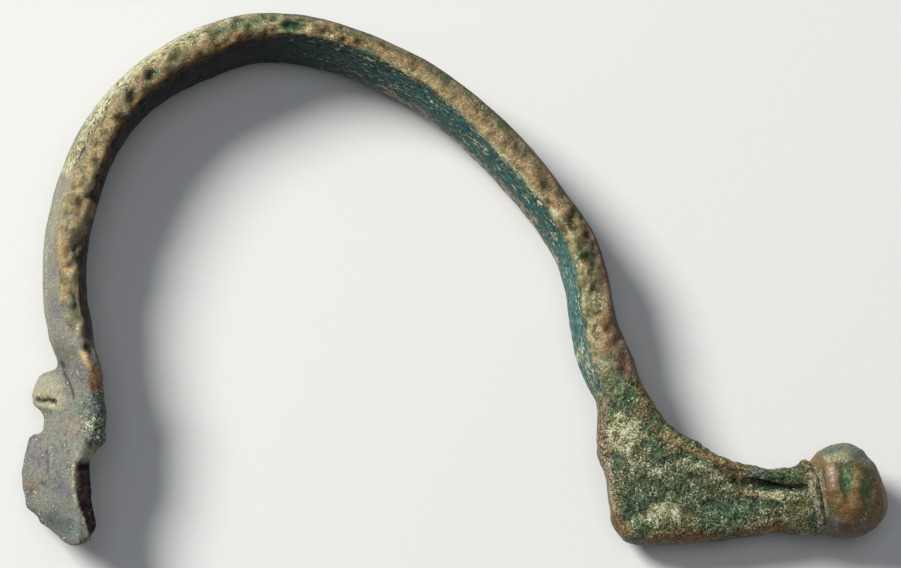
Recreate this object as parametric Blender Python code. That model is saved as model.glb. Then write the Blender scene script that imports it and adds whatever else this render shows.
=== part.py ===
"""Roman brooch with a high, wide bow, in cast bronze, lying on its side.

The pin and most of the hinge at the head are lost, so the head ends in a break.
Two pieces: the brooch body (head, bow, foot and catch plate in one casting) and
the knob that closes the end of the foot.

Metres, +Z up.  +X runs from the head towards the foot, +Y from the foot towards
the top of the bow, and the width of the bow stands along Z.
"""

import math

import bmesh
import bpy
import numpy as np
from mathutils import Matrix, Vector

MM = 0.001

# Whole brooch
BROOCH_LENGTH = 57.0 * MM

# Bow: width at the places where it is set, and thickness of its edges and its middle
BOW_WIDTH_HEAD = 6.0 * MM
BOW_WIDTH_CROWN = 6.4 * MM
BOW_WIDTH_SHOULDER = 5.4 * MM
BOW_WIDTH_KNEE = 4.3 * MM
BOW_EDGE_THIN = 1.05 * MM
BOW_EDGE_MAIN = 1.35 * MM
BOW_EDGE_KNEE = 2.0 * MM
BOW_CORE_LEFT = 2.95 * MM
BOW_CORE_RIGHT = 2.65 * MM
BOW_CORE_BEND = 3.1 * MM
BOW_SIDE_BULGE = 0.18 * MM

# Head: the broken plate below the bow
HEAD_THICKNESS = 2.0 * MM
HEAD_NEAR_REACH = 2.7 * MM
HEAD_FAR_REACH = 3.15 * MM
HEAD_NOTCH_REACH = 2.1 * MM
HEAD_TWIST = math.radians(31.0)
HEAD_TWIST_BROW = math.radians(42.0)
HEAD_BROW_REACH = 2.7 * MM
HEAD_TIP_SLANT = 0.48
LUG_FLARE = 1.15 * MM
LOBE_FLARE = 0.5 * MM

# Foot: the ridge along its top, the catch plate below it and the bent lower edge
FOOT_RIDGE_WIDTH = 3.7 * MM
FOOT_RIDGE_THICKNESS = 1.5 * MM
CATCH_THICKNESS = 1.5 * MM
CATCH_THICKNESS_END = 2.6 * MM
CATCH_ROOT_BEND = 0.95
CATCH_ROOT_END = 0.3
CATCH_FULL_DEPTH = 3.6 * MM
CATCH_LIP_REACH = 1.25 * MM
CATCH_LIP_HEIGHT = 0.75 * MM
CATCH_LIP_THICKNESS = 0.8 * MM
COLLAR_HEIGHT = 5.0 * MM
COLLAR_WIDTH = 4.7 * MM

# Knob on the end of the foot
KNOB_RADIUS = 3.05 * MM
KNOB_CUT = 1.75 * MM
KNOB_EDGE_ROUND = 0.35 * MM
KNOB_POLE_FLAT = 0.97
SEAT_CLEARANCE = 0.2 * MM

# Heights of the middle of the piece above the surface it lies on
HEIGHT_HEAD = 3.55 * MM
HEIGHT_CROWN = BOW_WIDTH_CROWN / 2 + BOW_SIDE_BULGE
HEIGHT_FOOT = KNOB_RADIUS

# Fineness of the surfaces
STATIONS = 112
KNOB_SIDES = 28
KNOB_RINGS = 13

# The run of the middle of the piece from the break at the head, over the bow, along the
# ridge of the foot to the collar, in shares of the brooch's length.
RUN = {
    "tip": (0.069, -0.014),
    "lobe": (0.065, 0.048),
    "step": (0.067, 0.080),
    "brow": (0.074, 0.098),
    "notch": (0.076, 0.126),
    "lug_low": (0.077, 0.150),
    "lug_top": (0.077, 0.181),
    "neck": (0.0765, 0.202),
    "left_low": (0.073, 0.246),
    "left_mid": (0.067, 0.305),
    "left_high": (0.075, 0.375),
    "left_shoulder": (0.101, 0.449),
    "rise": (0.145, 0.511),
    "crown_left": (0.209, 0.561),
    "crown": (0.290, 0.583),
    "crown_right": (0.368, 0.572),
    "fall": (0.448, 0.540),
    "right_shoulder": (0.517, 0.494),
    "right_high": (0.582, 0.431),
    "right_mid": (0.624, 0.371),
    "right_low": (0.651, 0.309),
    "knee": (0.665, 0.243),
    "bend": (0.690, 0.184),
    "foot_start": (0.716, 0.145),
    "foot_near": (0.745, 0.115),
    "foot_mid": (0.790, 0.092),
    "foot_far": (0.848, 0.078),
    "collar": (0.910, 0.088),
}


def second_slopes(knots, values):
    """Second derivatives at the knots of a natural cubic through the values."""
    count = len(knots)
    gap = np.diff(knots)
    system = np.eye(count)
    right = np.zeros(count)
    for i in range(1, count - 1):
        system[i, i - 1] = gap[i - 1]
        system[i, i] = 2.0 * (gap[i - 1] + gap[i])
        system[i, i + 1] = gap[i]
        rise = (values[i + 1] - values[i]) / gap[i]
        before = (values[i] - values[i - 1]) / gap[i - 1]
        right[i] = 6.0 * (rise - before)
    return np.linalg.solve(system, right)


def natural_cubic(knots, values, at):
    """Smooth curve through the values, read at the given places."""
    bend = second_slopes(knots, values)
    cell = np.clip(np.searchsorted(knots, at) - 1, 0, len(knots) - 2)
    width = knots[cell + 1] - knots[cell]
    a = (knots[cell + 1] - at) / width
    b = (at - knots[cell]) / width
    line = a * values[cell] + b * values[cell + 1]
    curve = (a ** 3 - a) * bend[cell] + (b ** 3 - b) * bend[cell + 1]
    return line + curve * width ** 2 / 6.0


def eased(places, values, at):
    """Steady change between values, with no overshoot: each stretch eases in and out."""
    places = np.asarray(places, float)
    values = np.asarray(values, float)
    slope = np.diff(values) / np.diff(places)
    lean = np.zeros(len(values))
    for i in range(1, len(values) - 1):
        if slope[i - 1] * slope[i] > 0.0:
            lean[i] = 2.0 / (1.0 / slope[i - 1] + 1.0 / slope[i])
    at = np.clip(at, places[0], places[-1])
    cell = np.clip(np.searchsorted(places, at) - 1, 0, len(places) - 2)
    width = places[cell + 1] - places[cell]
    t = (at - places[cell]) / width
    start = (1.0 + 2.0 * t) * (1.0 - t) ** 2 * values[cell]
    end = t ** 2 * (3.0 - 2.0 * t) * values[cell + 1]
    leave = t * (1.0 - t) ** 2 * width * lean[cell]
    arrive = t ** 2 * (t - 1.0) * width * lean[cell + 1]
    return start + end + leave + arrive


class Run:
    """The middle line of the body, and the length along it at each named place."""

    def __init__(self):
        names = list(RUN)
        points = np.array([RUN[name] for name in names]) * BROOCH_LENGTH
        chord = np.r_[0.0, np.cumsum(np.linalg.norm(np.diff(points, axis=0), axis=1))]
        fine = np.linspace(0.0, chord[-1], 2400)
        line = np.column_stack([natural_cubic(chord, points[:, i], fine) for i in (0, 1)])
        steps = np.linalg.norm(np.diff(line, axis=0), axis=1)
        length = np.r_[0.0, np.cumsum(steps)]
        self.fine_length = length
        self.fine_line = line
        self.total = length[-1]
        self.place = {n: float(np.interp(c, fine, length)) for n, c in zip(names, chord)}

    def point(self, at):
        return np.array([np.interp(at, self.fine_length, self.fine_line[:, i]) for i in (0, 1)])

    def along(self, at):
        step = 0.25 * MM
        ahead = self.point(min(at + step, self.total))
        behind = self.point(max(at - step, 0.0))
        direction = ahead - behind
        return direction / np.linalg.norm(direction)

    def curve(self, at, **values):
        """Value at a length, from the values set at named places."""
        keys = sorted((self.place[name], value) for name, value in values.items())
        return float(eased([k[0] for k in keys], [k[1] for k in keys], at))


def bow_section(near, far, edge, core):
    """Ribbon with crowned faces, as points (outward, width), from the far outer corner."""
    width = near + far
    points = []
    for i in range(7):
        across = -far + width * i / 6.0
        crown = 1.0 - abs(2.0 * i / 6.0 - 1.0) ** 2.4
        points.append((edge / 2 + (core - edge) / 2 * crown, across))
    points.append((0.0, near + BOW_SIDE_BULGE))
    points.append((-edge / 2, near))
    for i in range(1, 15):
        across = near - width * i / 15.0
        crown = 1.0 - abs(2.0 * i / 15.0 - 1.0) ** 2.4
        points.append((-edge / 2 - (core - edge) / 2 * crown, across))
    points.append((-edge / 2, -far))
    points.append((0.0, -far - BOW_SIDE_BULGE))
    return np.array(points)


def foot_section(ridge_width, ridge, root, plate, depth, bent):
    """Ridge on top of the catch plate, whose lower edge turns to the far side and up.

    bent is how far the turned edge is formed, from 0 (a plain edge) to 1.
    """
    half = ridge_width / 2
    p = plate / 2
    size = min(1.0, depth / CATCH_FULL_DEPTH)
    points = []
    for i in range(7):
        share = 2.0 * i / 6.0 - 1.0
        points.append((ridge * (0.5 - 0.28 * abs(share) ** 2.5), half * share))
    points.append((0.0, half + 0.08 * MM))
    points.append((-ridge * 0.32, half * 0.96))
    points.append((-ridge * 0.5 - 0.12 * MM, p + (half - p) * root))
    points.append((-0.36 * depth, p + (half - p) * root * 0.6))
    points.append((-0.62 * depth, p + (half - p) * root * 0.25))
    points.append((-depth + 0.95 * MM * size, p))
    points.append((-depth + 0.40 * MM * size, p - 0.06 * MM))
    points.append((-depth + 0.08 * MM * size, p - 0.35 * MM))

    plain = [(-depth, -0.1 * p), (-depth + 0.1 * MM * size, -0.8 * p)]
    plain += [(-depth * (1.0 - 0.38 * share), -p) for share in (0.30, 0.48, 0.66, 0.84)]
    fold = CATCH_LIP_THICKNESS
    reach = CATCH_LIP_REACH
    top = fold + CATCH_LIP_HEIGHT
    turned = [
        (-depth, -p),
        (-depth + 0.18 * MM, -p - reach * 0.85),
        (-depth + top, -p - reach),
        (-depth + top, -p - reach + fold * 0.7),
        (-depth + fold, -p - reach + fold),
        (-depth + fold + 0.12 * MM, -p + 0.02 * MM),
    ]
    for a, b in zip(plain, turned):
        points.append((mix(a[0], b[0], bent), mix(a[1], b[1], bent)))

    points.append((-0.62 * depth, -p))
    points.append((-ridge * 0.5 - 0.12 * MM, -p - (half - p) * root * 0.6))
    points.append((-ridge * 0.32, -half * 0.96))
    points.append((0.0, -half - 0.08 * MM))
    return np.array(points)


def collar_section(ridge):
    """Oval end of the foot, level with the top of the ridge."""
    middle = ridge / 2 - COLLAR_HEIGHT / 2
    turns = [-54, -36, -18, 0, 18, 36, 54, 64, 76]
    turns += [76 + 208.0 * i / 15.0 for i in range(1, 15)]
    turns += [284, 296]
    points = []
    for turn in turns:
        angle = math.radians(turn)
        points.append((middle + COLLAR_HEIGHT / 2 * math.cos(angle), COLLAR_WIDTH / 2 * math.sin(angle)))
    return np.array(points)


def mix(a, b, share):
    return a * (1.0 - share) + b * share


def body_station(run, at):
    """Points of one cross section of the body in space."""
    near = run.curve(at, tip=HEAD_NEAR_REACH * 0.85, lobe=HEAD_NEAR_REACH, step=HEAD_NEAR_REACH,
                     brow=HEAD_BROW_REACH, notch=HEAD_BROW_REACH * 0.95, lug_top=BOW_WIDTH_HEAD / 2,
                     neck=BOW_WIDTH_HEAD / 2, left_mid=BOW_WIDTH_HEAD / 2, crown=BOW_WIDTH_CROWN / 2,
                     right_shoulder=BOW_WIDTH_SHOULDER / 2, right_low=BOW_WIDTH_KNEE / 2,
                     bend=FOOT_RIDGE_WIDTH / 2)
    far = run.curve(at, tip=HEAD_FAR_REACH * 0.6, lobe=HEAD_FAR_REACH, step=HEAD_FAR_REACH,
                    brow=HEAD_FAR_REACH * 0.9, notch=HEAD_NOTCH_REACH, lug_low=HEAD_FAR_REACH,
                    lug_top=HEAD_FAR_REACH, neck=BOW_WIDTH_HEAD / 2, left_mid=BOW_WIDTH_HEAD / 2,
                    crown=BOW_WIDTH_CROWN / 2, right_shoulder=BOW_WIDTH_SHOULDER / 2,
                    right_low=BOW_WIDTH_KNEE / 2, bend=FOOT_RIDGE_WIDTH / 2)
    edge = run.curve(at, tip=HEAD_THICKNESS * 0.7, notch=HEAD_THICKNESS * 0.75, neck=BOW_EDGE_THIN,
                     left_low=BOW_EDGE_MAIN, left_high=BOW_EDGE_MAIN, rise=BOW_EDGE_THIN,
                     crown=BOW_EDGE_MAIN, right_high=BOW_EDGE_MAIN, right_low=BOW_EDGE_KNEE)
    core = run.curve(at, tip=HEAD_THICKNESS, notch=HEAD_THICKNESS * 1.1, left_low=BOW_CORE_LEFT,
                     left_shoulder=BOW_CORE_LEFT, crown=BOW_CORE_RIGHT, right_mid=BOW_CORE_RIGHT,
                     bend=BOW_CORE_BEND)
    twist = run.curve(at, tip=HEAD_TWIST, step=HEAD_TWIST, brow=HEAD_TWIST_BROW,
                      notch=HEAD_TWIST_BROW * 0.95, lug_low=HEAD_TWIST * 0.85,
                      lug_top=HEAD_TWIST * 0.35, neck=0.0)
    slant = run.curve(at, tip=HEAD_TIP_SLANT, lobe=0.0)
    height = run.curve(at, tip=HEIGHT_HEAD, lug_low=HEIGHT_HEAD, left_high=HEIGHT_CROWN,
                       right_shoulder=HEIGHT_CROWN, bend=HEIGHT_FOOT)
    to_foot = run.curve(at, knee=0.0, foot_start=1.0)
    to_collar = run.curve(at, foot_far=0.0, collar=1.0) ** 2.2
    ridge_width = run.curve(at, knee=BOW_WIDTH_KNEE * 0.95, foot_near=FOOT_RIDGE_WIDTH)
    ridge = run.curve(at, knee=BOW_EDGE_KNEE * 1.1, foot_near=FOOT_RIDGE_THICKNESS)
    root = run.curve(at, foot_start=CATCH_ROOT_BEND, foot_far=CATCH_ROOT_END)
    plate = run.curve(at, knee=CATCH_THICKNESS * 1.5, foot_near=CATCH_THICKNESS,
                      foot_far=CATCH_THICKNESS * 1.1, collar=CATCH_THICKNESS_END)
    depth = plate_depth(run, at)
    bent = run.curve(at, foot_start=0.0, foot_near=1.0, foot_far=1.0, collar=0.0)

    section = bow_section(near, far, edge, core)
    if to_foot > 0.0:
        section = mix(section, foot_section(ridge_width, ridge, root, plate, depth, bent), to_foot)
    if to_collar > 0.0:
        section = mix(section, collar_section(ridge), to_collar)

    flare = run.curve(at, tip=0.0, lobe=LOBE_FLARE, brow=LOBE_FLARE, notch=0.0, lug_low=LUG_FLARE,
                      lug_top=LUG_FLARE, neck=0.0)
    forward = run.along(at)
    outward = np.array([-forward[1], forward[0], 0.0])
    forward = np.array([forward[0], forward[1], 0.0])
    upward = np.array([0.0, 0.0, 1.0])
    face = math.cos(twist) * outward + math.sin(twist) * upward
    side = -math.sin(twist) * outward + math.cos(twist) * upward
    middle = np.append(run.point(at), height)
    points = []
    for out, across in section:
        spread = flare * max(0.0, -across / far) ** 1.6 if to_foot <= 0.0 else 0.0
        shift = -slant * across
        points.append(middle + face * (out + spread) + side * across + forward * shift)
    return points


# Lower outline of the catch plate: its left edge, its rounded corner and its long lower
# edge up to the knob, in shares of the brooch's length.
CATCH_OUTLINE = [
    (0.637, 0.262),
    (0.649, 0.214),
    (0.668, 0.170),
    (0.664, 0.135),
    (0.668, 0.112),
    (0.676, 0.076),
    (0.680, 0.041),
    (0.690, 0.015),
    (0.706, 0.003),
    (0.740, 0.003),
    (0.785, 0.007),
    (0.829, 0.014),
    (0.875, 0.019),
    (0.930, 0.014),
]


def plate_depth(run, at):
    """Distance from the run to the lower outline of the catch plate, square to the run."""
    origin = run.point(at)
    forward = run.along(at)
    inward = np.array([forward[1], -forward[0]])
    outline = np.array(CATCH_OUTLINE) * BROOCH_LENGTH
    knots = np.r_[0.0, np.cumsum(np.linalg.norm(np.diff(outline, axis=0), axis=1))]
    fine = np.linspace(0.0, knots[-1], 400)
    edge = np.column_stack([natural_cubic(knots, outline[:, i], fine) for i in (0, 1)])
    offset = (edge - origin) @ np.array([forward[0], forward[1]])
    reach = (edge - origin) @ inward
    crossing = np.where((offset[:-1] * offset[1:] <= 0.0) & (reach[:-1] > 0.0))[0]
    if len(crossing) == 0:
        return 2.0 * MM
    i = crossing[0]
    share = offset[i] / (offset[i] - offset[i + 1]) if offset[i] != offset[i + 1] else 0.0
    return float(mix(reach[i], reach[i + 1], share))


def closed_skin(name, rings):
    """Closed mesh over a row of rings with the same count of points."""
    bm = bmesh.new()
    rows = [[bm.verts.new(p) for p in ring] for ring in rings]
    count = len(rows[0])
    for a, b in zip(rows[:-1], rows[1:]):
        for i in range(count):
            j = (i + 1) % count
            bm.faces.new((a[i], a[j], b[j], b[i]))
    bm.faces.new(list(reversed(rows[0])))
    bm.faces.new(rows[-1])
    bmesh.ops.triangulate(bm, faces=bm.faces[:], quad_method="SHORT_EDGE", ngon_method="BEAUTY")
    bmesh.ops.recalc_face_normals(bm, faces=bm.faces[:])
    mesh = bpy.data.meshes.new(name)
    bm.to_mesh(mesh)
    bm.free()
    return mesh


def knob_profile():
    """Half outline of the knob along its axis, from the middle of its seat to its pole."""
    rim = math.sqrt(KNOB_RADIUS ** 2 - KNOB_CUT ** 2)
    start = math.acos(-KNOB_CUT / KNOB_RADIUS)
    outline = [(0.0, -KNOB_CUT), (rim - KNOB_EDGE_ROUND, -KNOB_CUT)]
    for i in range(1, KNOB_RINGS + 1):
        angle = (start - 0.08) * (1.0 - i / KNOB_RINGS)
        outline.append((KNOB_RADIUS * math.sin(angle), KNOB_RADIUS * KNOB_POLE_FLAT * math.cos(angle)))
    return outline


def knob_mesh(name):
    """Knob turned about its own +Z, with the flat seat below."""
    bm = bmesh.new()
    verts = [bm.verts.new((r, 0.0, z)) for r, z in knob_profile()]
    edges = [bm.edges.new(pair) for pair in zip(verts[:-1], verts[1:])]
    bmesh.ops.spin(bm, geom=verts + edges, cent=(0, 0, 0), axis=(0, 0, 1), angle=math.tau,
                   steps=KNOB_SIDES, use_merge=True)
    bmesh.ops.remove_doubles(bm, verts=bm.verts[:], dist=0.00001)
    bmesh.ops.triangulate(bm, faces=bm.faces[:])
    bmesh.ops.recalc_face_normals(bm, faces=bm.faces[:])
    mesh = bpy.data.meshes.new(name)
    bm.to_mesh(mesh)
    bm.free()
    return mesh


def material(name, colour, roughness, metallic):
    made = bpy.data.materials.new(name)
    made.use_nodes = True
    shader = made.node_tree.nodes["Principled BSDF"]
    shader.inputs["Base Color"].default_value = (*colour, 1.0)
    shader.inputs["Roughness"].default_value = roughness
    shader.inputs["Metallic"].default_value = metallic
    return made


def placed(name, mesh, surface):
    mesh.materials.append(surface)
    mesh.shade_smooth()
    mesh.set_sharp_from_angle(angle=math.radians(42.0))
    thing = bpy.data.objects.new(name, mesh)
    bpy.context.scene.collection.objects.link(thing)
    return thing


def main():
    for thing in list(bpy.data.objects):
        bpy.data.objects.remove(thing, do_unlink=True)

    run = Run()
    bronze = material("corroded_bronze", (0.13, 0.12, 0.07), 0.75, 0.35)
    knob_bronze = material("worn_bronze", (0.20, 0.12, 0.07), 0.6, 0.45)

    rings = [body_station(run, run.total * i / (STATIONS - 1)) for i in range(STATIONS)]
    body = placed("brooch_body", closed_skin("brooch_body", rings), bronze)

    # The knob sits square on the collar, a small clearance away from it.
    forward = run.along(run.total)
    forward = Vector((forward[0], forward[1], 0.0))
    outward = Vector((-forward.y, forward.x, 0.0))
    end = run.point(run.total)
    drop = COLLAR_HEIGHT / 2 - FOOT_RIDGE_THICKNESS / 2
    middle = Vector((end[0], end[1], HEIGHT_FOOT)) - outward * drop
    knob = placed("foot_knob", knob_mesh("foot_knob"), knob_bronze)
    knob.rotation_euler = forward.to_track_quat("Z", "Y").to_euler()
    knob.location = middle + forward * (KNOB_CUT + SEAT_CLEARANCE)

    # The whole brooch stands with the middle of its underside at the origin.
    holder = bpy.data.objects.new("brooch", None)
    bpy.context.scene.collection.objects.link(holder)
    body.parent = holder
    knob.parent = holder
    bpy.context.view_layer.update()
    corners = [thing.matrix_world @ v.co for thing in (body, knob) for v in thing.data.vertices]
    low = Vector([min(c[i] for c in corners) for i in range(3)])
    high = Vector([max(c[i] for c in corners) for i in range(3)])
    holder.location = (-(low.x + high.x) / 2, -(low.y + high.y) / 2, -low.z)


main()
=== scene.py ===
"""Visual model of a corroded Roman bow brooch, lying on its side on a pale floor."""

import math
import random

import bmesh
import bpy
import numpy as np
from bpy.props import FloatProperty, FloatVectorProperty, IntProperty, PointerProperty
from mathutils import Matrix, Vector, kdtree, noise


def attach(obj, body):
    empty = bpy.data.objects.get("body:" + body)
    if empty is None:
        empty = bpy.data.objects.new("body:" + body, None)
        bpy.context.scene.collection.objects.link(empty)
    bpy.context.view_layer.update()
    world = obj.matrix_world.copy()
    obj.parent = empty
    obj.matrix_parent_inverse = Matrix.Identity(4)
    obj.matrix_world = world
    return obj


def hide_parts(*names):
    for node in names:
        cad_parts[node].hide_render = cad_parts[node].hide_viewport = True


bl_info = {
    "name": "Roman Bow Brooch",
    "version": (1, 0, 0),
    "blender": (4, 5, 0),
    "location": "3D View > Sidebar > Brooch",
    "description": "Builds a corroded bronze bow brooch around its plain solids",
    "category": "Object",
}

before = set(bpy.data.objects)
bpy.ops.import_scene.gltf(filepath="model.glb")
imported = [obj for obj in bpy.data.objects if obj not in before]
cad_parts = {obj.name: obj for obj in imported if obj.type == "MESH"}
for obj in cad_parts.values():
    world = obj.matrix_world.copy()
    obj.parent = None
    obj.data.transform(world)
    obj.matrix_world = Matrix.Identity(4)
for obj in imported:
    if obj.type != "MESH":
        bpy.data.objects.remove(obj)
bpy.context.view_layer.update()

MM = 0.001
MOST_TRIANGLES = 200000

# Viewing direction: down on the brooch, a little from its left and more from its foot side.
VIEW_LEFT = math.radians(7.0)
VIEW_FRONT = math.radians(17.0)
VIEW_DISTANCE = 0.38
VIEW_TARGET = Vector((-0.00045, 0.00048, 0.003))
SENSOR = 36.0
PICTURE_STEP = 0.000065
PICTURE_SIZE = (901, 568)
BACK = Vector((-math.tan(VIEW_LEFT), -math.tan(VIEW_FRONT), 1.0)).normalized()
UP = (Vector((0.0, 1.0, 0.0)) - BACK * BACK.y).normalized()
RIGHT = UP.cross(BACK)
EYE = VIEW_TARGET + BACK * VIEW_DISTANCE

# Direction of the foot's end, and how far each of the two faces at the knob's seam grows out.
AXIS = np.array((math.cos(math.radians(15.0)), math.sin(math.radians(15.0)), 0.0))
END_GROWTH = 0.00013

# Middle line of the body from the break at the head, over the bow, along the ridge of the foot
# to the collar, in shares of the brooch's length. The shares start from the given corner, in mm.
BROOCH_LENGTH = 57.0
RUN_CORNER = (-29.08, -16.33)
RUN = [
    (0.069, -0.014), (0.065, 0.048), (0.067, 0.080), (0.074, 0.098), (0.076, 0.126),
    (0.077, 0.150), (0.077, 0.181), (0.0765, 0.202), (0.073, 0.246), (0.067, 0.305),
    (0.075, 0.375), (0.101, 0.449), (0.145, 0.511), (0.209, 0.561), (0.290, 0.583),
    (0.368, 0.572), (0.448, 0.540), (0.517, 0.494), (0.582, 0.431), (0.624, 0.371),
    (0.651, 0.309), (0.665, 0.243), (0.690, 0.184), (0.716, 0.145), (0.745, 0.115),
    (0.790, 0.092), (0.848, 0.078), (0.910, 0.088),
]

RUN_STEPS = 1400
# Lengths along the run, in mm, over which the head turns into the bow and the bow into the foot.
HEAD_TO_BOW = (11.5, 13.5)
BOW_TO_FOOT = (74.0, 78.0)

# Marks on the surface are placed as seen from the viewing direction: to the right and
# down from the upper left corner of the view, in steps of PICTURE_STEP.

# Hollows and swellings: right, down, half width, half height, turn in degrees, height in mm.
BODY_DENTS = [
    (78, 243, 8, 10, 10, -0.26), (79, 256, 6, 6, 0, -0.14), (88, 222, 6, 8, 20, -0.16),
    (94, 196, 6, 7, 30, -0.20), (97, 178, 6, 6, 0, -0.12), (70, 272, 9, 6, 0, 0.12),
    (70, 272, 4, 3, 0, -0.16), (84, 287, 4, 6, 0, -0.14), (86, 308, 5, 9, 10, -0.14),
    (86, 332, 5, 10, 10, -0.18), (64, 250, 5, 20, 4, 0.12), (72, 312, 7, 14, 0, 0.07),
    (72, 345, 6, 12, 0, 0.06), (88, 347, 6, 7, 0, -0.24), (88, 365, 6, 14, 14, 0.10),
    (97, 385, 7, 10, 0, -0.10), (132, 97, 8, 7, 40, -0.30), (120, 118, 6, 6, 0, -0.12),
    (152, 75, 8, 7, 40, -0.28), (141, 88, 6, 5, 30, 0.10), (163, 64, 7, 6, 30, 0.10),
    (175, 59, 9, 6, 30, -0.24), (190, 50, 8, 6, 30, 0.08), (206, 40, 10, 6, 25, 0.10),
    (222, 33, 10, 6, 20, -0.12), (240, 28, 9, 6, 10, 0.10), (258, 22, 8, 6, 0, -0.14),
    (272, 27, 7, 6, 0, 0.12), (290, 27, 10, 8, 0, -0.30), (311, 29, 5, 9, -20, 0.16),
    (303, 22, 7, 4, 0, 0.10), (326, 33, 9, 7, -10, -0.12), (345, 38, 9, 6, -20, 0.10),
    (362, 44, 8, 6, -20, -0.10), (392, 55, 12, 6, -25, 0.08), (415, 68, 8, 6, -25, -0.10),
    (440, 84, 12, 7, -30, 0.10), (458, 96, 7, 6, -30, -0.10), (474, 108, 12, 7, -35, 0.12),
    (490, 124, 7, 6, -35, -0.10), (503, 137, 9, 7, -40, 0.10), (520, 152, 9, 6, -45, -0.14),
    (533, 168, 9, 8, -45, 0.12), (545, 186, 7, 6, -50, -0.12), (556, 195, 6, 7, -50, 0.10),
    (565, 212, 7, 9, -60, 0.20), (574, 226, 6, 6, 0, -0.14), (580, 240, 7, 8, 0, 0.08),
    (586, 258, 6, 7, 0, -0.16), (590, 276, 8, 10, 0, 0.14), (603, 292, 5, 12, -10, -0.16),
    (592, 305, 7, 9, 0, 0.08), (606, 316, 6, 10, 0, 0.10), (598, 335, 6, 8, 0, -0.12),
    (610, 350, 8, 8, 0, 0.08), (622, 372, 10, 8, 20, -0.12), (612, 395, 9, 9, 0, 0.08),
    (632, 400, 8, 9, 0, -0.10), (645, 418, 8, 7, 0, 0.08), (48, 472, 2.6, 3.4, 0, -0.24),
    (43, 484, 3.0, 2.6, 0, -0.18), (40, 478, 9, 8, 0, 0.06), (60, 492, 8, 9, 0, -0.06),
    (84, 466, 10, 6, 0, -0.30), (92, 453, 6, 5, 0, 0.16), (84, 405, 10, 8, 0, 0.06),
    (70, 428, 10, 8, 0, 0.06), (101, 408, 6, 9, 0, 0.10), (100, 440, 8, 6, 20, 0.10),
    (55, 524, 9, 6, -20, -0.08), (658, 480, 14, 8, 0, -0.12), (672, 505, 12, 8, 0, 0.12),
    (640, 512, 10, 7, 0, -0.10), (700, 478, 12, 6, -15, -0.10), (722, 506, 20, 6, 0, -0.10),
    (628, 520, 8, 8, 0, -0.14), (614, 500, 5, 18, 0, 0.08), (760, 512, 12, 7, 0, 0.08),
    (800, 505, 12, 10, 0, -0.10), (805, 461, 9, 6, 0, 0.22), (788, 465, 8, 5, 0, -0.10),
    (742, 466, 10, 5, -20, 0.08), (708, 451, 12, 4, -25, -0.06), (620, 436, 16, 12, 0, 0.06),
]

# Grooves and ribs: corners as right and down, half width, height in mm.
BODY_STROKES = [
    (((37, 398), (43, 401), (47, 399)), 3.4, -0.32),
    (((49, 401), (55, 402)), 3.0, -0.26),
    (((37, 405), (45, 407), (55, 407)), 3.0, 0.07),
    (((40, 409), (50, 412)), 2.4, -0.08),
    (((62, 364), (66, 378), (70, 388), (73, 397)), 2.6, -0.12),
    (((58, 360), (62, 374), (66, 386)), 3.4, 0.05),
    (((50, 446), (51, 460), (50, 470), (52, 479)), 2.4, 0.12),
    (((47, 452), (48, 466)), 2.2, -0.08),
    (((74, 468), (74, 490), (78, 505), (84, 520), (89, 541)), 2.8, 0.10),
    (((88, 350), (86, 362), (93, 374), (98, 384)), 3.4, 0.10),
    (((754, 481), (772, 487), (790, 490), (806, 487)), 5.5, -0.36),
    (((748, 470), (765, 473), (784, 477), (800, 475)), 5.0, 0.12),
    (((735, 487), (752, 492), (770, 497), (792, 499)), 6.0, 0.12),
    (((668, 452), (700, 463), (732, 473)), 9.0, 0.07),
    (((816, 468), (814, 490), (820, 512), (826, 532)), 4.5, 0.14),
    (((660, 437), (690, 451), (722, 463), (750, 470)), 4.0, 0.08),
    (((606, 424), (626, 438), (648, 454)), 4.0, 0.06),
]

# Slow shifts of the whole thickness: right, down, radius, shift to the right and upwards in mm.
BODY_SHIFTS = [
    (54, 363, 19, 0.62, -0.30), (37, 379, 17, -0.02, 0.26), (33, 400, 12, 0.04, -0.06),
    (97, 522, 16, 0.22, 0.0), (98, 541, 11, -0.45, 0.14), (31, 505, 11, -0.30, -0.28),
    (69, 539, 15, 0.0, -0.46), (37, 427, 13, 0.26, -0.36), (40, 517, 9, -0.12, -0.20),
]

# Folds of the plain solid that are evened out: corners as right and down, half width.
BODY_FOLDS = [
    (((586, 345), (600, 366), (618, 396), (640, 428)), 15.0),
    (((660, 448), (700, 464), (735, 474)), 10.0),
]

# Where the bow's sides lie off the plain solid: length along the run, then how far the outer
# and the inner side stand proud of it, or below it where negative, all in mm.
BOW_TRIMS = (
    (11.0, 0.0, 0.0), (15.0, 0.4, -0.6), (19.0, 0.2, -0.42), (30.0, 0.0, -0.2),
    (34.0, -0.2, 0.2), (36.5, -0.2, 0.35), (40.0, -0.2, 0.05), (46.0, -0.15, -0.15),
    (52.0, 0.0, -0.1), (60.0, 0.05, 0.15), (63.0, 0.05, -0.1), (66.0, 0.4, -0.4),
    (72.0, 0.2, -0.2), (75.0, 0.5, 0.2), (80.5, 0.0, 0.0),
)

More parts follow.
